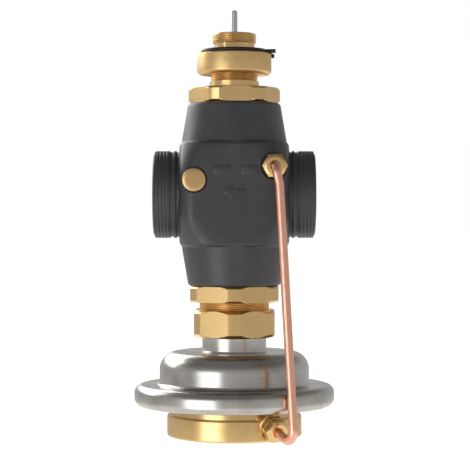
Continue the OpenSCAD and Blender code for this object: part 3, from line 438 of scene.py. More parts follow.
COPPER = DrawnMetal("drawn_copper", rgb(244, 184, 160), 0.36, tarnish=rgb(206, 134, 108), tarnish_share=0.4)
COATED_IRON = CastCoating("coated_iron", rgb(54, 54, 54), 0.4, rubbed=rgb(68, 68, 68))
COATED_THREAD = CastCoating("coated_thread", rgb(52, 52, 53), 0.5, rubbed=rgb(70, 70, 70), grain_depth=0.03)
BLACK_WIRE = Finish("black_wire", rgb(24, 24, 22), 0.42)
SEAL_RUBBER = Finish("seal_rubber", rgb(26, 26, 26), 0.75, specular=0.3)
WASHER_FIBRE = Finish("washer_fibre", rgb(108, 66, 44), 0.85, specular=0.2)
PALE_PLASTIC = Finish("pale_plastic", rgb(226, 224, 214), 0.4)


@dataclass
class Shell:
    """A closed skin in millimetres, before it becomes an object."""

    points: list[Vector] = field(default_factory=list)
    faces: list[tuple[int, ...]] = field(default_factory=list)

    def joined(self, *others: "Shell") -> "Shell":
        """Puts shells side by side in one.

        Args:
            *others: The shells to add.

        Returns:
            One shell with all the skins.
        """
        whole = Shell(list(self.points), list(self.faces))
        for other in others:
            start = len(whole.points)
            whole.points.extend(other.points)
            whole.faces.extend(tuple(i + start for i in face) for face in other.faces)
        return whole

    def moved(self, matrix: Matrix) -> "Shell":
        """Moves every point by a matrix."""
        return Shell([matrix @ p for p in self.points], list(self.faces))

    def warped(self, rule: Callable[[Vector], Vector]) -> "Shell":
        """Moves every point by a rule."""
        return Shell([rule(p) for p in self.points], list(self.faces))


def rounded_corner(before: Vector, here: Vector, after: Vector, radius: float, steps: int,
                   straight: float) -> list[Vector]:
    """Rounds one corner of a line, in the plane or in space.

    Args:
        before: The corner before it.
        here: The corner.
        after: The corner after it.
        radius: The radius wanted, which is smaller where the edges are short.
        steps: Edges on the arc.
        straight: A corner that turns by less than twice this, in radians, stays.

    Returns:
        The arc's points, or the corner alone.
    """
    back, ahead = before - here, after - here
    room = CORNER_ROOM * min(back.length, ahead.length)
    back.normalize()
    ahead.normalize()
    half = back.angle(ahead) / 2
    if half > math.pi / 2 - straight:
        return [here]
    reach = min(radius / math.tan(half), room)
    true_radius = reach * math.tan(half)
    centre = here + (back + ahead).normalized() * (true_radius / math.sin(half))
    first, final = here + back * reach - centre, here + ahead * reach - centre
    return [centre + first.lerp(final, k / steps).normalized() * true_radius for k in range(steps + 1)]


def softened(corners: Outline, radius: float = 0.3, steps: int = 3,
             closed: bool = False) -> list[tuple[float, float]]:
    """Rounds the corners of an outline.

    Args:
        corners: Corners as (r, z), or (r, z, its own radius).
        radius: The radius of a corner that names none.
        steps: Edges on each arc.
        closed: Whether the outline runs round to its start.

    Returns:
        The outline's points.
    """
    made: list[tuple[float, float]] = []
    count = len(corners)
    for i, corner in enumerate(corners):
        here = Vector(corner[:2])
        wanted = corner[2] if len(corner) > 2 else radius
        if wanted <= 0 or (not closed and i in (0, count - 1)):
            made.append(tuple(here))
            continue
        before, after = Vector(corners[i - 1][:2]), Vector(corners[(i + 1) % count][:2])
        made += [tuple(p) for p in rounded_corner(before, here, after, wanted, steps, 0.02)]
    return made


def arc(centre: Sequence[float], radius: float, start: float, stop: float,
        steps: int = 10) -> list[tuple[float, float]]:
    """Points of an arc in an outline's plane, between two angles in degrees."""
    angles = [math.radians(start + (stop - start) * i / steps) for i in range(steps + 1)]
    return [(centre[0] + radius * math.cos(a), centre[1] + radius * math.sin(a)) for a in angles]


def revolved(outline: Outline, segments: int = 128, closed: bool = False) -> Shell:
    """Turns an outline about Z.

    Args:
        outline: Points (r, z), going up on the outside. An open one starts and ends on the axis.
        segments: Steps round the axis.
        closed: Whether the outline is a loop clear of the axis.

    Returns:
        The closed shell.
    """
    shell = Shell()
    rings: list[list[int]] = []
    for r, z in outline:
        if r < 1e-6:
            rings.append([len(shell.points)])
            shell.points.append(Vector((0, 0, z)))
            continue
        rings.append(list(range(len(shell.points), len(shell.points) + segments)))
        for j in range(segments):
            angle = 2 * math.pi * j / segments
            shell.points.append(Vector((r * math.cos(angle), r * math.sin(angle), z)))
    pairs = list(zip(rings, rings[1:])) + ([(rings[-1], rings[0])] if closed else [])
    for low, high in pairs:
        for j in range(segments):
            k = (j + 1) % segments
            if len(low) == 1 and len(high) > 1:
                shell.faces.append((low[0], high[k], high[j]))
            elif len(high) == 1 and len(low) > 1:
                shell.faces.append((low[j], low[k], high[0]))
            elif len(low) > 1:
                shell.faces.append((low[j], low[k], high[k], high[j]))
    return shell


def column(outline: Outline) -> list[tuple[float, float]]:
    """Closes an outline to the axis at both ends."""
    return [(0.0, outline[0][1]), *[tuple(p) for p in outline], (0.0, outline[-1][1])]


def hexagon(flats: float, low: float, high: float, low_cut: float, high_cut: float,
            turn: float = 0.0, turned_r: float = 0.0, face_share: float = 1.0, edge: float = 0.25) -> Shell:
    """Makes a hexagon whose corners are turned off and whose edges are broken.

    Args:
        flats: Width across flats.
        low: Height of its lower face.
        high: Height of its upper face.
        low_cut: How far up the lower corners are turned off.
        high_cut: How far down the upper corners are turned off.
        turn: Turn about Z in degrees, with a corner along +X at 0.
        turned_r: Radius to which its corners are turned down, or 0 for full corners.
        face_share: Radius of the upper face, as a share of half the flats.
        edge: How much its edges are broken.

    Returns:
        The closed shell.
    """
    half = flats / 2
    corner = turned_r or flats / math.sqrt(3)
    blend = 0.006 if turned_r else 0.09
    steps = [0, 0.5, 1.1, 2, 3.5, 5, 11, 14.5, 18, 22, 26]
    if turned_r:
        steps.append(30 - math.degrees(math.acos(half / (corner - CORNER_TRIM))))
    offsets = sorted({*steps, *[-s for s in steps], 30.0})
    angles = [60 * sector + offset for sector in range(6) for offset in offsets]

    def reach(angle: float) -> float:
        """Radius of the hexagon in a direction, its corner slightly rounded."""
        local = (angle + 30) % 60 - 30
        sharp = half / math.cos(math.radians(30 - abs(local)))
        rounded = math.exp((corner - CORNER_TRIM - sharp) / blend)
        return corner - CORNER_TRIM - math.log1p(rounded) * blend

    def limit(z: float) -> float:
        """Radius that the turned corners leave at a height."""
        full = corner + (0.0 if turned_r else 0.4)
        foot = corner - low_cut - 0.1 if turned_r else half
        rise = full if low_cut <= 0 else foot + (full - foot) * min((z - low) / low_cut, 1)
        face = (corner - high_cut - 0.1 if turned_r else half) * face_share
        fall = full if high_cut <= 0 else face + (full - face) * min((high - z) / high_cut, 1)
        return min(rise, fall)

    def heights(cut: float) -> list[float]:
        """Distances of the rows from one end."""
        return [0, 0.3 * edge, edge] + [edge + (max(cut, 1.0) - edge) * i / 8 for i in range(1, 9)]

    rows = [low + h for h in heights(low_cut)] + [high - h for h in reversed(heights(high_cut))]
    shell = Shell()
    for z in rows:
        near = min(z - low, high - z)
        back = edge * (1 - near / edge) ** 2 if near < edge else 0.0
        for angle in angles:
            r = min(reach(angle), limit(z)) - back
            a = math.radians(angle + turn)
            shell.points.append(Vector((r * math.cos(a), r * math.sin(a), z)))
    count = len(angles)
    for i in range(len(rows) - 1):
        for j in range(count):
            k = (j + 1) % count
            shell.faces.append((i * count + j, i * count + k, (i + 1) * count + k, (i + 1) * count + j))
    for ring, z, flip in ((0, low, True), (len(rows) - 1, high, False)):
        hub = len(shell.points)
        shell.points.append(Vector((0, 0, z)))
        for j in range(count):
            k = (j + 1) % count
            a, b = ring * count + j, ring * count + k
            shell.faces.append((hub, b, a) if flip else (hub, a, b))
    return shell


def along(axis: Axis, x: float, y: float, z: float, flip: bool = False) -> Matrix:
    """Stands a piece that was made along Z on another axis.

    Args:
        axis: The axis that the piece's own Z goes along: X, or Y for the front, -Y.
        x: Its place.
        y: Its place.
        z: Its place.
        flip: Whether it points the other way.

    Returns:
        The matrix.
    """
    angle = -math.pi / 2 if flip else math.pi / 2
    turned = Matrix.Rotation(angle, 4, "X" if axis is Axis.Y else "Y")
    return Matrix.Translation((x, y, z)) @ turned


def polished(mesh: bpy.types.Mesh, sharp: float) -> None:
    """Shades a mesh smooth except over sharp edges."""
    mesh.shade_smooth()
    mesh.set_sharp_from_angle(angle=math.radians(sharp))


def as_object(name: str, shell: Shell, sharp: float = 34.0) -> bpy.types.Object:
    """Makes an object of a shell.

    Args:
        name: The object's name.
        shell: Its skin in millimetres.
        sharp: Edges over this angle stay sharp.

    Returns:
        The object, in metres.
    """
    mesh = bpy.data.meshes.new(name)
    mesh.from_pydata([tuple(p * MM) for p in shell.points], [], shell.faces)
    bm = bmesh.new()
    bm.from_mesh(mesh)
    bmesh.ops.remove_doubles(bm, verts=bm.verts, dist=1e-7)
    bmesh.ops.recalc_face_normals(bm, faces=bm.faces)
    bm.to_mesh(mesh)
    bm.free()
    polished(mesh, sharp)
    made = bpy.data.objects.new(name, mesh)
    bpy.context.scene.collection.objects.link(made)
    return made


def settled(piece: bpy.types.Object, sharp: float = 34.0) -> bpy.types.Object:
    """Turns a piece's modifiers into plain mesh."""
    graph = bpy.context.evaluated_depsgraph_get()
    mesh = bpy.data.meshes.new_from_object(piece.evaluated_get(graph))
    piece.modifiers.clear()
    old, piece.data = piece.data, mesh
    mesh.name = piece.name
    bpy.data.meshes.remove(old)
    polished(mesh, sharp)
    return piece


class Recipe:
    """A Geometry Nodes tree with named inputs that makes one kind of piece."""

    def __init__(self, name: str, sizes: Sequence[str], takes_geometry: bool = False) -> None:
        """Starts the tree.

        Args:
            name: The tree's name.
            sizes: Names of its number inputs.
            takes_geometry: Whether it works on the object's own mesh.
        """
        self.tree = bpy.data.node_groups.new(name, "GeometryNodeTree")
        self.tree.interface.new_socket("Geometry", in_out="OUTPUT", socket_type="NodeSocketGeometry")
        if takes_geometry:
            self.tree.interface.new_socket("Geometry", in_out="INPUT", socket_type="NodeSocketGeometry")
        for size in sizes:
            self.tree.interface.new_socket(size, in_out="INPUT", socket_type="NodeSocketFloat")
        self.tree.interface.new_socket("Finish", in_out="INPUT", socket_type="NodeSocketMaterial")
        self.graph = Graph(self.tree)
        self.entry = self.tree.nodes.new("NodeGroupInput")

    def size(self, name: str) -> Value:
        """Gives one of the tree's inputs."""
        return Value(self.graph, self.entry.outputs[name])

    def close(self, geometry: Value) -> None:
        """Ends the tree with plain geometry and its material."""
        real = self.graph.node("GeometryNodeRealizeInstances", None, {0: geometry})
        painted = self.graph.node("GeometryNodeSetMaterial", None, {"Geometry": real, "Material": self.size("Finish")})
        self.tree.links.new(painted.socket, self.tree.nodes.new("NodeGroupOutput").inputs[0])

    def make(self, name: str, sizes: dict[str, float], finish: Finish, base: Shell | None = None,
             matrix: Matrix | None = None, sharp: float = 40.0) -> bpy.types.Object:
        """Runs the tree once and keeps the result as a plain mesh.

        Args:
            name: The piece's name.
            sizes: Its inputs, in millimetres.
            finish: Its finish.
            base: The points that the tree follows, if it needs some.
            matrix: Where the result goes, in millimetres.
            sharp: Edges over this angle stay sharp.

        Returns:
            The object, in metres.
        """
        mesh = bpy.data.meshes.new(name)
        if base:
            edges = [(i, i + 1) for i in range(len(base.points) - 1)]
            mesh.from_pydata([tuple(p) for p in base.points], edges, [])
        piece = bpy.data.objects.new(name, mesh)
        bpy.context.scene.collection.objects.link(piece)
        modifier = piece.modifiers.new("recipe", "NODES")
        modifier.node_group = self.tree
        for item in self.tree.interface.items_tree:
            if item.in_out == "INPUT" and item.name in sizes:
                modifier[item.identifier] = float(sizes[item.name])
            if item.in_out == "INPUT" and item.name == "Finish":
                modifier[item.identifier] = finish.material()
        settled(piece, sharp)
        piece.data.transform(Matrix.Scale(MM, 4) @ (matrix or Matrix.Identity(4)))
        return piece


def thread_recipe() -> Recipe:
    """Builds the tree of a screw thread: a closed column whose side is a helical ridge.

    Returns:
        The recipe, its column centred on the origin along Z.
    """
    recipe = Recipe("thread_cutter", ["Radius", "Pitch", "Depth", "Length", "Steps"])
    g = recipe.graph
    radius, pitch = recipe.size("Radius"), recipe.size("Pitch")
    depth, length = recipe.size("Depth"), recipe.size("Length")
    sizes = {"Vertices": 144, "Side Segments": recipe.size("Steps"), "Radius": radius, "Depth": length}
    rod = g.node("GeometryNodeMeshCylinder", {"fill_type": "NGON"}, sizes, "Mesh")
    x, y, z = g.split(g.node("GeometryNodeInputPosition"))
    angle = y.math("ARCTAN2", x) / (2 * math.pi)
    phase = (z / pitch - angle).math("FRACT")
    flank = ((phase - 0.5).math("ABSOLUTE") * 2.7 - 0.32).clamped()
    near_end = ((length * 0.5 - z.math("ABSOLUTE")) / (pitch * 0.7)).clamped()
    cut = flank.math("MAXIMUM", 1 - near_end)
    scale = 1 - cut * depth / radius
    ridged = {"Geometry": rod, "Position": g.vector(x * scale, y * scale, z)}
    recipe.close(g.node("GeometryNodeSetPosition", None, ridged))
    return recipe


def sweep(recipe: Recipe, line: Value, sides: Value | int, radius: Value) -> None:
    """Ends a recipe with a round section that is swept along a line.

    Args:
        recipe: The recipe.
        line: The line that the section follows.
        sides: The section's sides.
        radius: The section's radius.
    """
    section = recipe.graph.node("GeometryNodeCurvePrimitiveCircle", {"mode": "RADIUS"},
                                {"Resolution": sides, "Radius": radius})
    recipe.close(recipe.graph.node("GeometryNodeCurveToMesh", None,
                                   {"Curve": line, "Profile Curve": section, "Fill Caps": True}))


def wire_recipe() -> Recipe:
    """Builds the tree of a round wire or tube that follows a line of points.

    Returns:
        The recipe.
    """
    recipe = Recipe("wire_bender", ["Radius", "Sides"], takes_geometry=True)
    line = recipe.graph.node("GeometryNodeMeshToCurve", None, {0: recipe.size("Geometry")})
    sweep(recipe, line, recipe.size("Sides"), recipe.size("Radius"))
    return recipe


def coil_recipe() -> Recipe:
    """Builds the tree of a coil spring that stands on the origin along Z.

    Returns:
        The recipe.
    """
    recipe = Recipe("spring_winder", ["Mean", "Wire", "Height", "Turns"])
    sizes = {"Resolution": 36, "Rotations": recipe.size("Turns"), "Start Radius": recipe.size("Mean"),
             "End Radius": recipe.size("Mean"), "Height": recipe.size("Height")}
    sweep(recipe, recipe.graph.node("GeometryNodeCurveSpiral", None, sizes), 14, recipe.size("Wire"))
    return recipe


@dataclass
class Shop:
    """Hands out the recipes and sets pieces on their bodies."""

    threads: Recipe = field(default_factory=thread_recipe)
    wires: Recipe = field(default_factory=wire_recipe)
    coils: Recipe = field(default_factory=coil_recipe)

    def thread(self, name: str, radius: float, pitch: float, length: float, finish: Finish,
               matrix: Matrix, depth_share: float = THREAD_SHARE) -> bpy.types.Object:
        """Cuts a thread and sets it in place.

        Args:
            name: The piece's name.
            radius: Its crest radius.
            pitch: Its pitch.
            length: Its length.
            finish: Its finish.
            matrix: Where its middle goes, in millimetres.
            depth_share: Its depth as a share of the pitch.

        Returns:
            The object.
        """
        sizes = {"Radius": radius, "Pitch": pitch, "Depth": pitch * depth_share, "Length": length,
                 "Steps": round(length / pitch * 14)}
        return self.threads.make(name, sizes, finish, matrix=matrix, sharp=THREAD_SHARP)

    def place(self, piece: bpy.types.Object, body: str, finish: Finish, slot: str, *nodes: str) -> None:
        """Paints a piece and sets it on its body.

        Args:
            piece: The piece.
            body: The body that it moves with.
            finish: Its finish.
            slot: The record's material slot; not used.
            *nodes: The solids that it stands for.
        """
        piece.data.materials.clear()
        piece.data.materials.append(finish.material())
        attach(piece, body)
        if nodes:
            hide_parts(*nodes)
        LOG.info("%s on %s: %d faces", piece.name, body, len(piece.data.polygons))

    def paint(self, finish: Finish, *nodes: str) -> None:
        """Gives solids that keep their shape a finish."""
        for name in nodes:
            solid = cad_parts[name]
            for spot in solid.material_slots:
                spot.material = finish.material()
            LOG.info("%s keeps its solid, in %s", name, finish.name)


@dataclass
class BodyCasting:
    """The coated body: a cast shell with soft joins, machined ends and blank reliefs."""

    grain: float = 0.6
    half_w: float = 37.6
    corner_r: float = 10.0
    ledge: float = 32.5
    ledge_r: float = 3.0
    crown_r: float = 41.0
    crown_drop: float = 20.0
    thread_r: float = 29.8
    groove_r: float = 28.9
    port_x: float = 55.0
    bore_r: float = 20.0
    groove_x: tuple[float, float] = (41.2, 43.4)
    channel_r: tuple[float, float] = (33.0, 21.0)
    channel_gap: float = 2.0
    crown_blend: float = 2.2

    def rough_casting(self) -> Shell:
        """Stacks the plain forms that the casting is blended from."""
        side = [(30.4, 62.2), (31.7, 61.2), (35.9, 36.2), (35.9, 30.0)]
        cones = revolved([(0.0, -62.2), *[(r, -z) for r, z in side], *side[::-1], (0.0, 62.2)], 160)
        forms = [cones, self.block()]
        for flip in (False, True):
            neck = revolved(column([(self.groove_r, 0), (self.groove_r, 39.0)]), 128)
            forms.append(neck.moved(along(Axis.X, 0, 0, 0, flip)))
        return forms[0].joined(*forms[1:])

    def block(self) -> Shell:
        """Shapes the square block round the ports, its corners rounded and turned off at both ends."""
        edge = arc((self.half_w - self.ledge_r, self.ledge), self.ledge_r, 55, 0, 6)
        heights = [self.ledge * (1 - i / 20) for i in range(1, 20)]
        upper = [*edge, *[(self.half_w, z) for z in heights]]
        line = [(w, -z) for w, z in upper] + [(self.half_w, 0.0)] + upper[::-1]
        flat = self.half_w - self.corner_r
        full = flat * math.sqrt(2) + self.corner_r + 0.7
        top = self.ledge + self.ledge_r

        def squared(point: Vector) -> Vector:
            """Moves a point of a round block out to the square one."""
            width = math.hypot(point.x, point.y)
            if width < 1:
                return point
            a, b = sorted((abs(point.x) / width, abs(point.y) / width), reverse=True)
            reach = width / a
            if reach * b > width - self.corner_r:
                away = (width - self.corner_r) * (a + b)
                reach = away + math.sqrt(max(away * away - 2 * (width - self.corner_r) ** 2 + self.corner_r ** 2, 0))
            rise = max(abs(point.z) - top + self.crown_drop, 0) / self.crown_drop
            crown = full + (self.crown_r - full) * rise
            soft = self.crown_blend
            reach = -math.log(math.exp(-reach / soft) + math.exp(-crown / soft)) * soft
            return Vector((point.x / width * reach, point.y / width * reach, point.z))

        return revolved(column(line), 256).warped(squared)

    def channel(self, low: float, high: float, flip: bool) -> Shell:
        """Shapes one half-ring water way, beside the middle chamber."""
        outline: list[tuple[float, float]] = []
        for radius, turn in zip(self.channel_r, (1, -1)):
            edge = math.degrees(math.acos(self.channel_gap / radius))
            outline += arc((0, 0), radius, -edge * turn, edge * turn, 40)
        sign = -1 if flip else 1
        count = len(outline)
        points = [Vector((sign * x, sign * y, z)) for z in (low, high) for x, y in outline]
        half = count // 2
        faces: list[tuple[int, ...]] = []
        for i in range(count):
            k = (i + 1) % count
            faces.append((i, k, k + count, i + count))
        for i in range(half - 1):
            j = count - 1 - i
            faces.append((i, i + 1, j - 1, j)[::-1])
            faces.append((i + count, i + 1 + count, j - 1 + count, j + count))
        return Shell(points, faces)

    def cutters(self) -> list[Shell]:
        """Lists the hollows, in sets whose members don't touch."""
        middle = revolved(column([(17.0, -25.0), (17.0, 25.0)]), 96)
        plug = revolved(column([(1.6, 14), (1.6, 25.6), (5.0, 25.6), (5.0, 34.6), (8.9, 34.6), (9.0, 45)]), 64)
        tap = revolved(column([(1.6, 14), (1.6, 23), (4.8, 23), (4.8, 32), (9.6, 32), (9.6, 45)]), 64)
        upper = revolved(column([(30.0, 24.0), (30.0, 40.0), (27.0, 40.0), (27.0, 66.0)]), 96)
        flip = Matrix.Scale(-1, 4, (0, 0, 1))
        bore = revolved(column([(self.bore_r + 0.02, 24.0), (self.bore_r + 0.02, 60.0)]), 128)
        return [
            middle.joined(plug.moved(along(Axis.Y, -26.8, 0, 9.4)), tap.moved(along(Axis.Y, 26.9, 0, 18.6))),
            upper.joined(upper.moved(flip)),
            self.channel(-20, 25, False).joined(self.channel(-25, 20, True)),
            bore.moved(along(Axis.X, 0, 0, 0)).joined(bore.moved(along(Axis.X, 0, 0, 0, True))),
        ]

    def casting(self) -> bpy.types.Object:
        """Blends the forms into one casting and cuts its hollows.

        Returns:
            The casting.
        """
        lift = Matrix.Translation((0, 0, PORT_Z))
        piece = as_object("body_casting", self.rough_casting().moved(lift))
        remesh = piece.modifiers.new("blend", "REMESH")
        remesh.mode = "VOXEL"
        remesh.voxel_size = self.grain * MM
        smooth = piece.modifiers.new("soften", "SMOOTH")
        smooth.factor = 0.5
        smooth.iterations = 3
        settled(piece)
        for cutter in self.cutters():
            carved(piece, cutter.moved(lift), 40)
        return piece

    def port_end(self, flip: bool) -> Shell:
        """Shapes the machined end of a port, its grooves and rib to its face."""
        low, high = self.groove_x
        root = self.thread_r - 0.4
        ring = softened([
            (self.bore_r, low - 6, 0), (28.0, low - 6, 0), (self.groove_r, low - 5, 0), (self.groove_r, low - 1.9, 0.3),
            (self.thread_r, low - 1.9, 0.3), (self.thread_r, low, 0.3), (self.groove_r, low, 0.3),
            (self.groove_r, high, 0.3), (root, high, 0.3), (root, self.port_x - 2.2), (27.4, self.port_x, 0.5),
            (self.bore_r + 0.8, self.port_x, 0.4), (self.bore_r, self.port_x - 0.8)], 0.2, 3, True)
        return revolved(ring, 160, True).moved(along(Axis.X, 0, 0, PORT_Z, flip))

    def relief(self, corners: Outline, height: float = 0.45) -> Shell:
        """Lays a raised flat shape on the front of the block.

        Args:
            corners: Its corners (x, z) in millimetres, z above the port axis.
            height: How far it stands proud.

        Returns:
            Its shell.
        """
        bm = bmesh.new()
        bm.faces.new([bm.verts.new((x, 0, z)) for x, z in corners])
        grown = bmesh.ops.extrude_face_region(bm, geom=bm.faces[:])
        for vert in (v for v in grown["geom"] if isinstance(v, bmesh.types.BMVert)):
            vert.co.y = 1
        for vert in bm.verts:
            vert.co.y = -self.half_w + (0.9 if vert.co.y > 0.5 else -height)
            vert.co.z += PORT_Z
        bm.verts.index_update()
        shell = Shell([v.co.copy() for v in bm.verts], [tuple(v.index for v in f.verts) for f in bm.faces])
        bm.free()
        return shell

    def build(self, shop: Shop) -> None:
        """Builds the body's pieces."""
        shop.place(self.casting(), "housing", COATED_IRON, "coated_iron", "valve_body")
        ends = self.port_end(False).joined(self.port_end(True))
        shop.place(as_object("port_ends", ends, 50), "housing", COATED_THREAD, "coated_iron")
        length = self.port_x - 1.0 - self.groove_x[1]
        for name, flip in (("right", False), ("left", True)):
            middle = (self.groove_x[1] + self.port_x - 1.0) / 2 * (-1 if flip else 1)
            matrix = along(Axis.X, middle, 0, PORT_Z, flip)
            piece = shop.thread(f"port_thread_{name}", self.thread_r, PORT_PITCH, length, COATED_THREAD, matrix,
                                PORT_THREAD_SHARE)
            piece = hollowed(piece, self.bore_r + 0.05, 2 * length, matrix)
            shop.place(piece, "housing", COATED_THREAD, "coated_iron")
        tablets = [[(-14.0, 12.6), (-3.0, 12.6), (-3.0, 19.0), (-14.0, 19.0)],
                   [(4.4, 12.6), (15.4, 12.6), (15.4, 19.0), (4.4, 19.0)]]
        arrow = [(-7.4, 0.8), (-1.0, -4.8), (-1.0, -1.6), (7.4, -1.6), (7.4, 3.2), (-1.0, 3.2), (-1.0, 6.4)]
        shells = [self.relief(corners) for corners in (*tablets, arrow)]
        reliefs = as_object("body_reliefs", shells[0].joined(*shells[1:]), 60)
        bevel = reliefs.modifiers.new("soft", "BEVEL")
        bevel.width = 0.3 * MM
        bevel.segments = 2
        bevel.limit_method = "ANGLE"
        shop.place(settled(reliefs, 60), "housing", COATED_IRON, "coated_iron")


@dataclass
class Headwork:
    """What stands on the body: bonnet, spigot, setting collar, wire ring and stem."""

    hex_flats: float = 57.6
    hex_corner_r: float = 31.3
    hex_turn: float = -56.2
    hex_top: float = 237.4
    thread_low: float = 241.9
    neck_top: float = 251.4
    collar_low: float = 246.6
    collar_top: float = 261.0
    land_top: float = 268.0
    spigot_top: float = 274.8
    sleeve_foot: float = 245.6
    key_r: float = 12.3
    key_w: float = 3.0
    key_h: float = 4.0
    key_gap: float = 0.15

    def bonnet(self) -> Shell:
        """Shapes the bonnet, inside and out."""
        head = hexagon(self.hex_flats, BODY_TOP_Z, self.hex_top, HEX_CHAMFER, HEX_CHAMFER, self.hex_turn,
                       self.hex_corner_r)
        neck = softened([
            (3.3, 219), (12.1, 218.5), (12.1, 204), (16.0, 204), (16.0, 208), (26.9, 208), (26.9, 227.2),
            (20, 227.2, 0), (16.9, self.hex_top - 0.4, 0.4), (16.9, self.thread_low), (15.25, self.thread_low + 0.6),
            (15.25, self.neck_top), (11.05, self.neck_top), (11.05, 232), (8, 232), (8, 221), (3.3, 221)], 0.2, 2, True)
        return head.joined(revolved(neck, 144, True))

    def spigot(self) -> Shell:
        """Shapes the spigot: sleeve, shoulder, flatted waist and thread core."""
        outline = softened([
            (8, self.sleeve_foot), (11.0, self.sleeve_foot), (11.0, 258.05), (22.4, 258.05), (22.4, 260.9),
            (13.8, 260.9), (13.8, self.land_top), (14.1, self.land_top, 0.1), (14.1, self.spigot_top - 1.0),
            (13.2, self.spigot_top, 0.3), (2.75, self.spigot_top, 0.3), (2.35, self.spigot_top - 0.4),
            (2.35, 269.8), (4, 269.8), (4, 262.6), (8, 262.6)], 0.2, 3, True)

        def flatted(point: Vector) -> Vector:
            """Mills two flats on the waist."""
            if self.collar_top + 0.3 < point.z < self.land_top - 0.05 and abs(point.y) > 12.3:
                return Vector((point.x, math.copysign(12.3, point.y), point.z))
            return point

        side = self.key_w / 2
        key = bar((10.2, -side, self.sleeve_foot), (self.key_r, side, self.sleeve_foot + self.key_h))
        return revolved(outline, 144, True).warped(flatted).joined(key)

    def collar(self) -> Shell:
        """Shapes the setting collar, with its dished underside and the ring's slot left to the solid."""
        low, high = self.collar_low, self.collar_top
        outline = softened([
            (16.05, low + 1.0, 0.1), (17.2, low + 0.8, 0.3), (21.3, low + 0.8, 0.3), (21.7, low, 0.2), (23.7, low, 0.6),
            (25.4, low + 1.8, 0.8), (25.4, high, 0.8), (22.6, high, 0.3), (22.6, 258.0), (11.05, 258.0), (11.05, 256.0),
            (16.05, 256.0)], 0.2, 4, True)
        return revolved(outline, 180, True)

    def ring_path(self) -> Shell:
        """Lays out the wire ring, hook to arm."""
        z = self.collar_top + 1.45
        low = 259.9

        def polar(r: float, a: float, height: float) -> Vector:
            """A point by radius and angle."""
            return Vector((r * math.cos(math.radians(a)), r * math.sin(math.radians(a)), height))

        corners = [polar(27.8, 10, low), polar(26.4, 10, low), polar(23.4, 10, z), polar(21.5, 10, z)]
        around = [polar(21.5, 10 + 339 * i / 60, z) for i in range(1, 60)]
        corners += around + [polar(21.5, -11, z), polar(28.6, -11, z)]
        return Shell(smooth_path(corners, 1.3))

    def build(self, shop: Shop) -> None:
        """Builds the headwork's pieces."""
        side = self.key_w / 2 + self.key_gap
        slot = bar((0, -side, self.thread_low - 1), (self.key_r + self.key_gap, side, self.neck_top + 1.6))
        piece = carved(as_object("bonnet_shell", self.bonnet(), HEX_SHARP), slot, HEX_SHARP)
        shop.place(piece, "housing", MILLED_BRASS, "brass", "bonnet")
        length = self.neck_top - self.thread_low - 0.8
        middle = Matrix.Translation((0, 0, self.thread_low + 0.6 + length / 2))
        piece = shop.thread("bonnet_thread", 16.0, FINE_PITCH, length, THREAD_BRASS, middle)
        piece = carved(hollowed(piece, 11.2, 2 * length, middle), slot)
        shop.place(piece, "housing", THREAD_BRASS, "brass")
        shop.place(as_object("spigot_shell", self.spigot(), 34), "spigot", TURNED_BRASS, "brass", "actuator_spigot")
        length = self.spigot_top - self.land_top - 0.5
        middle = Matrix.Translation((0, 0, self.land_top + length / 2 + 0.05))
        piece = shop.thread("spigot_thread", 15.0, FINE_PITCH, length, THREAD_BRASS, middle)
        shop.place(hollowed(piece, 4.4, 2 * length, middle), "spigot", THREAD_BRASS, "brass")
        shop.place(as_object("collar_shell", self.collar(), 34), "collar", COLLAR_BRASS, "brass", "setting_collar")
        wire = shop.wires.make("ring_wire", {"Radius": 1.4, "Sides": 20}, BLACK_WIRE, self.ring_path())
        shop.place(wire, "collar", BLACK_WIRE, "black_wire", "snap_ring")
        shop.paint(GROUND_STEEL, "control_stem")


def smooth_path(corners: Sequence[Vector], radius: float, steps: int = 6) -> list[Vector]:
    """Rounds the corners of a path in space.

    Args:
        corners: The path's corners.
        radius: The radius of each bend.
        steps: Edges in each bend.

    Returns:
        The path's points.
    """
    made = [corners[0]]
    for before, here, after in zip(corners, corners[1:], corners[2:]):
        made += rounded_corner(before, here, after, radius, steps, 0.06)
    return made + [corners[-1]]


def carved(piece: bpy.types.Object, shell: Shell, sharp: float = THREAD_SHARP,
           operation: str = "DIFFERENCE") -> bpy.types.Object:
    """Cuts a closed shell out of a piece, or adds it.

    Args:
        piece: The piece.
        shell: What is cut away or added.
        sharp: Edges over this angle stay sharp.
        operation: DIFFERENCE or UNION.

    Returns:
        The piece.
    """
    tool = as_object("cutter", shell)
    cut = piece.modifiers.new("bore", "BOOLEAN")
    cut.operation = operation
    cut.solver = "EXACT"
    cut.object = tool
    settled(piece, sharp)
    bpy.data.objects.remove(tool)
    return piece


def hollowed(piece: bpy.types.Object, radius: float, length: float, middle: Matrix) -> bpy.types.Object:
    """Bores a hole through a piece along Z.

    Args:
        piece: The piece.
        radius: The hole's radius in millimetres.
        length: The cutter's length.
        middle: The cutter's middle, in millimetres.

    Returns:
        The piece.
    """
    return carved(piece, revolved(column([(radius, -length / 2), (radius, length / 2)]), 96).moved(middle))


def bar(low: Sequence[float], high: Sequence[float]) -> Shell:
    """Makes a square-edged bar between two opposite corners."""
    points = [Vector((x, y, z)) for x in (low[0], high[0]) for y in (low[1], high[1]) for z in (low[2], high[2])]
    return Shell(points, [(0, 1, 3, 2), (4, 6, 7, 5), (0, 4, 5, 1), (2, 3, 7, 6), (0, 2, 6, 4), (1, 5, 7, 3)])


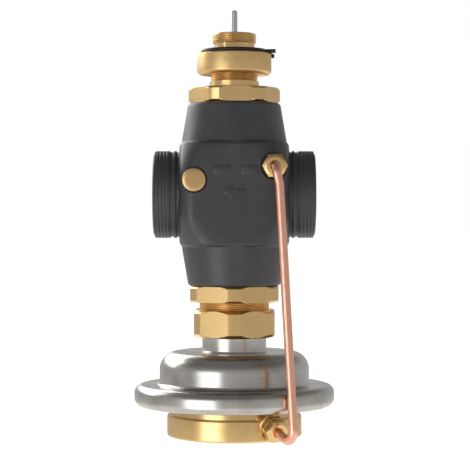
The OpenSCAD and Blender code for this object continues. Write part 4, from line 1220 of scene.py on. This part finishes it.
@dataclass
class UnionJoint:
    """What joins the body to the diaphragm unit: insert, union nut and steel neck."""

    insert_flats: float = 60.0
    insert_corner_r: float = 32.4
    nut_flats: float = 55.0
    nut_corner_r: float = 29.6
    nut_chamfer: float = 2.4
    nut_low: float = 67.3
    nut_high: float = 86.2
    hex_low: float = 91.2
    turn: float = 30.0

    def insert(self) -> Shell:
        """Shapes the lower insert."""
        head = hexagon(self.insert_flats, self.hex_low, BODY_FOOT_Z, HEX_CHAMFER, HEX_CHAMFER, self.turn,
                       self.insert_corner_r)
        core = softened([
            (16, 75.5), (23.2, 75.5), (23.2, 91.6, 0.2), (26.9, 102.0, 0), (26.9, 118), (8, 118), (8, 103.8),
            (4.5, 103.8), (4.5, 100), (16, 100)], 0.3, 3, True)
        return head.joined(revolved(core, 128, True))

    def nut(self) -> bpy.types.Object:
        """Makes the union nut with its thread bore."""
        blank = hexagon(self.nut_flats, self.nut_low, self.nut_high, self.nut_chamfer, self.nut_chamfer, self.turn,
                        self.nut_corner_r)
        piece = as_object("union_nut_shell", blank, HEX_SHARP)
        bore = column(softened(
            [(22.1, 66), (22.1, 70.3), (24.05, 70.3), (24.05, 85.2), (25.2, 86.4), (25.2, 88)], 0))
        return carved(piece, revolved(bore, 128), HEX_SHARP)

    def build(self, shop: Shop) -> None:
        """Builds the joint's pieces."""
        piece = as_object("insert_shell", self.insert(), HEX_SHARP)
        shop.place(piece, "housing", MILLED_BRASS, "brass", "lower_insert")
        middle = Matrix.Translation((0, 0, 84.2))
        piece = shop.thread("insert_thread", 24.0, FINE_PITCH, 13.2, THREAD_BRASS, middle)
        shop.place(hollowed(piece, 16.3, 30, middle), "housing", THREAD_BRASS, "brass")
        shop.place(self.nut(), "housing", MILLED_BRASS, "brass", "union_nut")
        neck = softened([
            (14, 56.6), (22.6, 57.2, 0.3), (22.0, 58.2, 0.5), (22.0, 70.2, 0.1), (23.6, 70.3), (23.6, 73.8),
            (14, 73.8)], 0.2, 3, True)
        piece = as_object("neck_shell", revolved(neck, 128, True))
        shop.place(piece, "housing", STAINLESS_NECK, "casing_steel", "casing_neck")


@dataclass
class DiaphragmUnit:
    """The pressed steel casing and its brass base."""

    sheet: float = 2.0
    top: float = 57.4
    deck: float = 35.0
    under: float = 20.5
    dome_r: float = 51.2
    rim_r: float = 68.4

    def skin(self, inset: float) -> list[tuple[float, float]]:
        """Gives the casing's line, drawn in by inset.

        Args:
            inset: 0 for the outside, the sheet's thickness for the inside.

        Returns:
            The line from the top hole to the hem.
        """
        shoulder, foot, edge = 12 - inset, 2.5 + inset, 5.5 - inset
        side, deck, rim = self.dome_r - inset, self.deck - inset, self.rim_r - inset
        return [
            (14.0, self.top - inset),
            *arc((side - shoulder, self.top - inset - shoulder), shoulder, 90, 0, 14),
            *arc((side + foot, deck + foot), foot, 180, 270, 7),
            *arc((rim - edge, deck - edge), edge, 90, 0, 10),
            *arc((rim - edge, self.under + inset + edge), edge, 360, 270, 10),
            (60.0, self.under + inset),
        ]

    def upper(self) -> Shell:
        """Shapes the upper casing from its outside and inside lines."""
        outline = self.skin(0) + self.skin(self.sheet)[::-1]
        return revolved(outline[::-1], 192, True)

    def base(self) -> bpy.types.Object:
        """Makes the brass base with its chamber, boss and tapped hole."""
        line = softened([
            (0, 3.5, 0), (36, 3.5, 1.0), (36, self.under - 0.05, 0.2), (42, self.under - 0.05, 0.2), (42, 14.3, 0.5),
            (BASE_R - 0.6, 14.3, 0.3), (BASE_R, 13.6, 0.3), (BASE_R, 0, 1.4), (0, 0, 0)], 0.3, 5)
        piece = as_object("base_shell", revolved(line, 192), 40)
        boss = softened([(9.2, -9), (8.6, -0.3), (8.2, 0.5), (5, 0.5)], 0.2)
        tap = [(1.6, -14), (1.6, -8.4), (4.8, -8.4), (4.8, 0.5), (9.0, 0.5), (9.0, 9)]
        for outline, operation in ((boss, "UNION"), (tap, "DIFFERENCE")):
            carved(piece, revolved(column(outline), 72).moved(self.seat()), 40, operation)
        return piece

    @staticmethod
    def seat() -> Matrix:
        """Gives the lower fitting's axis as a matrix, its Z pointing out and down."""
        turn = Matrix.Rotation(math.radians(FITTING_AZIMUTH - 90), 4, "Z")
        tilt = Matrix.Rotation(math.radians(90 + FITTING_DROOP), 4, "Y")
        foot = Matrix.Translation((BASE_R, 0, FITTING_Z))
        return turn @ foot @ tilt @ Matrix.Rotation(math.radians(30), 4, "Z")

    def build(self, shop: Shop) -> None:
        """Builds the unit's pieces."""
        shop.place(as_object("casing_shell", self.upper(), 40), "housing", STAINLESS, "casing_steel", "upper_casing")
        shop.paint(STAINLESS, "lower_casing")
        shop.place(self.base(), "housing", TURNED_BRASS, "brass", "base_cover")


@dataclass
class ImpulseLine:
    """The copper tube, its two fittings and the test plug."""

    flats: float = 15.0
    tube_r: float = 3.0
    tap: tuple[float, float, float] = (26.9, -32.0, 183.2)
    plug: tuple[float, float, float] = (-26.8, -34.6, 174.0)

    def fitting(self, name: str, seat: Matrix, finish: Finish, shop: Shop) -> None:
        """Builds one fitting's body, ring and nut.

        Args:
            name: "upper" or "lower".
            seat: Its axis as a matrix.
            finish: Its brass.
            shop: Where it is placed.
        """
        bore = softened([(1.6, -8), (4.7, -8), (4.7, 0.05, 0), (7.0, 0.05, 0), (7.0, 3.0, 0), (5.4, 3.4, 0), (5.4, 6.8),
                         (3.1, 6.8), (3.1, 3.4), (1.6, 3.4)], 0.1, 2, True)
        body = hexagon(self.flats, 0, 3.4, 0.7, 0.7).joined(revolved(bore, 64, True))
        piece = as_object(f"{name}_fitting_shell", body.moved(seat), 30)
        shop.place(piece, "housing", finish, "brass", f"{name}_fitting_body")
        nut = as_object(f"{name}_nut_shell", hexagon(self.flats, 3.8, 9.8, 0.7, 1.9, 0, 0, 0.8, 0.2).moved(seat), 30)
        drill = [(5.45, 3), (5.45, 8.2), (3.1, 8.25), (3.1, 9.4), (3.7, 9.9), (3.7, 11)]
        carved(nut, revolved(column(drill), 64).moved(seat), 30)
        shop.place(nut, "housing", finish, "brass", f"{name}_fitting_nut")

    def path(self) -> Shell:
        """Lays out the tube from the upper fitting to the lower one."""
        seat = DiaphragmUnit.seat()
        reach = 28.0 / math.cos(math.radians(FITTING_DROOP))
        top = Vector((self.tap[0], -35.7, self.tap[2]))
        elbow = Vector((self.tap[0], -52.4, self.tap[2]))
        knee = Vector((29.6, -52.4, self.tap[2] - 12.4))
        corner = seat @ Vector((0, 0, reach))
        end = seat @ Vector((0, 0, 4.2))
        parts = [smooth_path([top, elbow, knee], 8.0, 14), smooth_path([elbow, knee, corner], 14.0, 6),
                 smooth_path([knee, corner, end], 9.0, 20)]
        return Shell(parts[0][:-1] + parts[1][1:-1] + parts[2][1:])

    def build(self, shop: Shop) -> None:
        """Builds the line's pieces."""
        upper = along(Axis.Y, *self.tap)
        lower = DiaphragmUnit.seat() @ Matrix.Translation((0, 0, 0.5))
        brass = TurnedMetal("fitting_brass", BRASS_TONE, 0.27, axis=Axis.Y, centre=self.tap, tarnish=BRASS_DARK)
        self.fitting("upper", upper, brass, shop)
        self.fitting("lower", lower, MILLED_BRASS, shop)
        tube = shop.wires.make("copper_tube", {"Radius": self.tube_r, "Sides": 40}, COPPER, self.path())
        shop.place(tube, "housing", COPPER, "copper", "impulse_tube")
        head = softened([
            (0, -8, 0), (4.9, -8), (4.9, 1.0, 0), (7.9, 1.0, 0.3), (7.9, 4.1, 0.9), (5.5, 4.4, 2), (0, 4.5, 0)], 0.2, 5)
        plug = revolved(head, 96).moved(along(Axis.Y, *self.plug))
        face = TurnedMetal("plug_brass", rgb(214, 176, 124), 0.3, axis=Axis.Y, centre=self.plug, tarnish=BRASS_DARK)
        shop.place(as_object("plug_shell", plug, 40), "housing", face, "brass", "test_plug")
        shop.paint(WASHER_FIBRE, "test_plug_washer")


@dataclass
class InnerWorks:
    """What the valve holds: cones, seats, seals, plates and springs."""

    def build(self, shop: Shop) -> None:
        """Paints the inner solids and winds the springs."""
        shop.paint(INNER_BRASS, "gland_bush", "guide_bush", "control_cone", "regulator_cone", "upper_ferrule",
                   "lower_ferrule")
        shop.paint(GROUND_STEEL, "control_seat", "regulator_seat", "control_cone_nut", "spring_washer", "stem_clip",
                   "regulator_stem", "regulator_cone_nut", "upper_plate", "lower_plate", "plate_nut")
        shop.paint(SEAL_RUBBER, "bonnet_o_ring", "gland_o_rings", "insert_o_ring", "guide_o_rings", "neck_gasket",
                   "base_o_ring", "control_cone_seal", "regulator_cone_seal")
        shop.paint(PALE_PLASTIC, "piston_ring")
        self.spring(shop, "return", 6.0, 0.65, 232.05, 253.95, 6, "control_stroke", 232.0, 0.636)
        self.spring(shop, "regulator", 27.0, 2.0, 31.8, 55.35, 3.5, "regulator_stroke", 55.4, 0.746)
        self.diaphragm(shop)

    @staticmethod
    def spring(shop: Shop, name: str, mean: float, wire: float, low: float, high: float, turns: float,
               joint: str, anchor: float, keep: float) -> None:
        """Winds a spring and sets it on the housing.

        Args:
            shop: Where it is placed.
            name: The start of its node's name.
            mean: Its mean radius.
            wire: Its wire's radius.
            low: The height of its foot.
            high: The height of its top.
            turns: Its turns.
            joint: The joint that squeezes it; not used.
            anchor: The height of the end that stays; not used.
            keep: The share of its height left at the joint's limit; not used.
        """
        sizes = {"Mean": mean, "Wire": wire, "Height": high - low - 2 * wire, "Turns": turns}
        coil = shop.coils.make(f"{name}_coil", sizes, SPRING_STEEL, matrix=Matrix.Translation((0, 0, low + wire)))
        shop.place(coil, "housing", SPRING_STEEL, "spring_steel", f"{name}_spring")
        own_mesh(coil)

    @staticmethod
    def diaphragm(shop: Shop) -> None:
        """Makes the rolling diaphragm: a clamped centre that rides on the plates, and the roll round it."""
        centre = softened([(3.1, 26.3), (46.5, 26.3), (46.5, 29.2), (3.1, 29.2)], 0.4, 3, True)
        disc = as_object("diaphragm_centre", revolved(centre, 128, True))
        roll = [(46.3 + 16.4 * i / 24, 26.85 - 0.9 * (1 - math.cos(2 * math.pi * i / 24))) for i in range(25)]
        over = [(r, z + 1.9) for r, z in reversed(roll)]
        bead = [*roll, (62.5, 26.2), (66.2, 26.2), (66.2, 29.4), (65.2, 32.0), (62.9, 32.9), (62.4, 32.9), *over]
        rim = as_object("diaphragm_roll", revolved(bead, 160, True))
        shop.place(disc, "regulator", SEAL_RUBBER, "rubber")
        shop.place(rim, "housing", SEAL_RUBBER, "rubber", "diaphragm")


@dataclass
class Studio:
    """A pale floor, soft light from the left and a camera level with the body."""

    focal: float = 129.4
    distance: float = 1.158
    eye: float = 0.1492
    horizon_rows: float = 18.0
    middle_columns: float = 0.7
    picture: float = 470.0
    floor_glow: float = 0.8

    def floor(self) -> None:
        """Lays the pale floor."""
        line = softened([(0, 0, 0), (9000, 0, 0), (9000, -20, 0), (0, -20, 0)][::-1], 0)
        piece = as_object("floor", revolved(line, 96))
        surface = Finish("floor_paper", (0.93, 0.93, 0.93, 1), 0.9, specular=0.0)
        paper = surface.material()
        shader = paper.node_tree.nodes["Principled BSDF"]
        shader.inputs["Emission Color"].default_value = (1, 1, 1, 1)
        shader.inputs["Emission Strength"].default_value = self.floor_glow
        piece.data.materials.append(paper)
        piece.visible_glossy = False

    @staticmethod
    def softbox(name: str, azimuth: float, height: float, distance: float, size: tuple[float, float],
                radiance: float, colour: tuple[float, float, float] = (1, 1, 1)) -> None:
        """Hangs a soft light.

        Args:
            name: The light's name.
            azimuth: Degrees left of the camera, seen from the object.
            height: Height of its middle in metres.
            distance: Distance from the object in metres.
            size: Its width and height in metres.
            radiance: How bright its face is.
            colour: Its tint.
        """
        light = bpy.data.lights.new(name, "AREA")
        light.shape = "RECTANGLE"
        light.size, light.size_y = size
        light.energy = radiance * math.pi * size[0] * size[1]
        light.color = colour
        lamp = bpy.data.objects.new(name, light)
        a = math.radians(azimuth)
        lamp.location = Vector((-math.sin(a) * distance, -math.cos(a) * distance, height))
        facing = Vector((-lamp.location.x, -lamp.location.y, 0))
        lamp.rotation_euler = facing.to_track_quat("-Z", "Y").to_euler()
        lamp.visible_camera = False
        bpy.context.scene.collection.objects.link(lamp)

    def world(self, seen: float = 1.0, felt: float = 0.55, top: float = 0.22,
              under: float = 1.15) -> None:
        """Surrounds the object with soft white light, dimmer overhead.

        Args:
            seen: How bright the backdrop looks.
            felt: How much it lights the object from around.
            top: How much it lights the object from above.
            under: How bright the floor's side of the studio is in the metal.
        """
        world = bpy.data.worlds.new("studio")
        world.use_nodes = True
        graph = Graph(world.node_tree)
        shown = graph.node("ShaderNodeLightPath", None, None, "Is Camera Ray")
        world.node_tree.nodes["Background"].inputs["Color"].default_value = (1, 1, 1, 1)
        up = graph.split(graph.node("ShaderNodeTexCoord", None, None, "Generated"))[2]
        below = (up * -1).ramp(0.0, 0.5) * (under - felt)
        around = felt - up.ramp(0.2, 0.7) * (felt - top) + below
        strength = around + shown * (seen - around)
        world.node_tree.links.new(strength.socket, world.node_tree.nodes["Background"].inputs["Strength"])
        bpy.context.scene.world = world

    def camera(self) -> None:
        """Sets the camera where the photograph was taken from."""
        lens = bpy.data.cameras.new("camera")
        lens.lens = self.focal
        lens.sensor_width = 36.0
        lens.clip_start, lens.clip_end = 0.05, 60.0
        lens.shift_y = -self.horizon_rows / self.picture
        lens.shift_x = self.middle_columns / self.picture
        seat = bpy.data.objects.new("camera", lens)
        seat.location = (0, -self.distance, self.eye)
        seat.rotation_euler = (math.pi / 2, 0, 0)
        bpy.context.scene.collection.objects.link(seat)
        bpy.context.scene.camera = seat

    def build(self) -> None:
        """Sets up floor, lights, world and camera."""
        bpy.context.scene.view_settings.view_transform = "Standard"
        self.camera()
        self.floor()
        self.world()
        self.softbox("key", 39, -0.3, 1.6, (1.02, 1.38), 2.35, (0.96, 1.0, 1.06))
        self.softbox("rim", 138, 1.02, 1.6, (1.9, 1.1), 3.4)


def main() -> None:
    """Builds the valve's pieces and the studio."""
    logging.basicConfig(level=logging.INFO, format="%(name)s: %(message)s")
    Studio().build()
    shop = Shop()
    for group in (BodyCasting(), Headwork(), UnionJoint(), DiaphragmUnit(), ImpulseLine(), InnerWorks()):
        group.build(shop)
        LOG.info("%s is done", type(group).__name__)


if __name__ == "__main__":
    main()
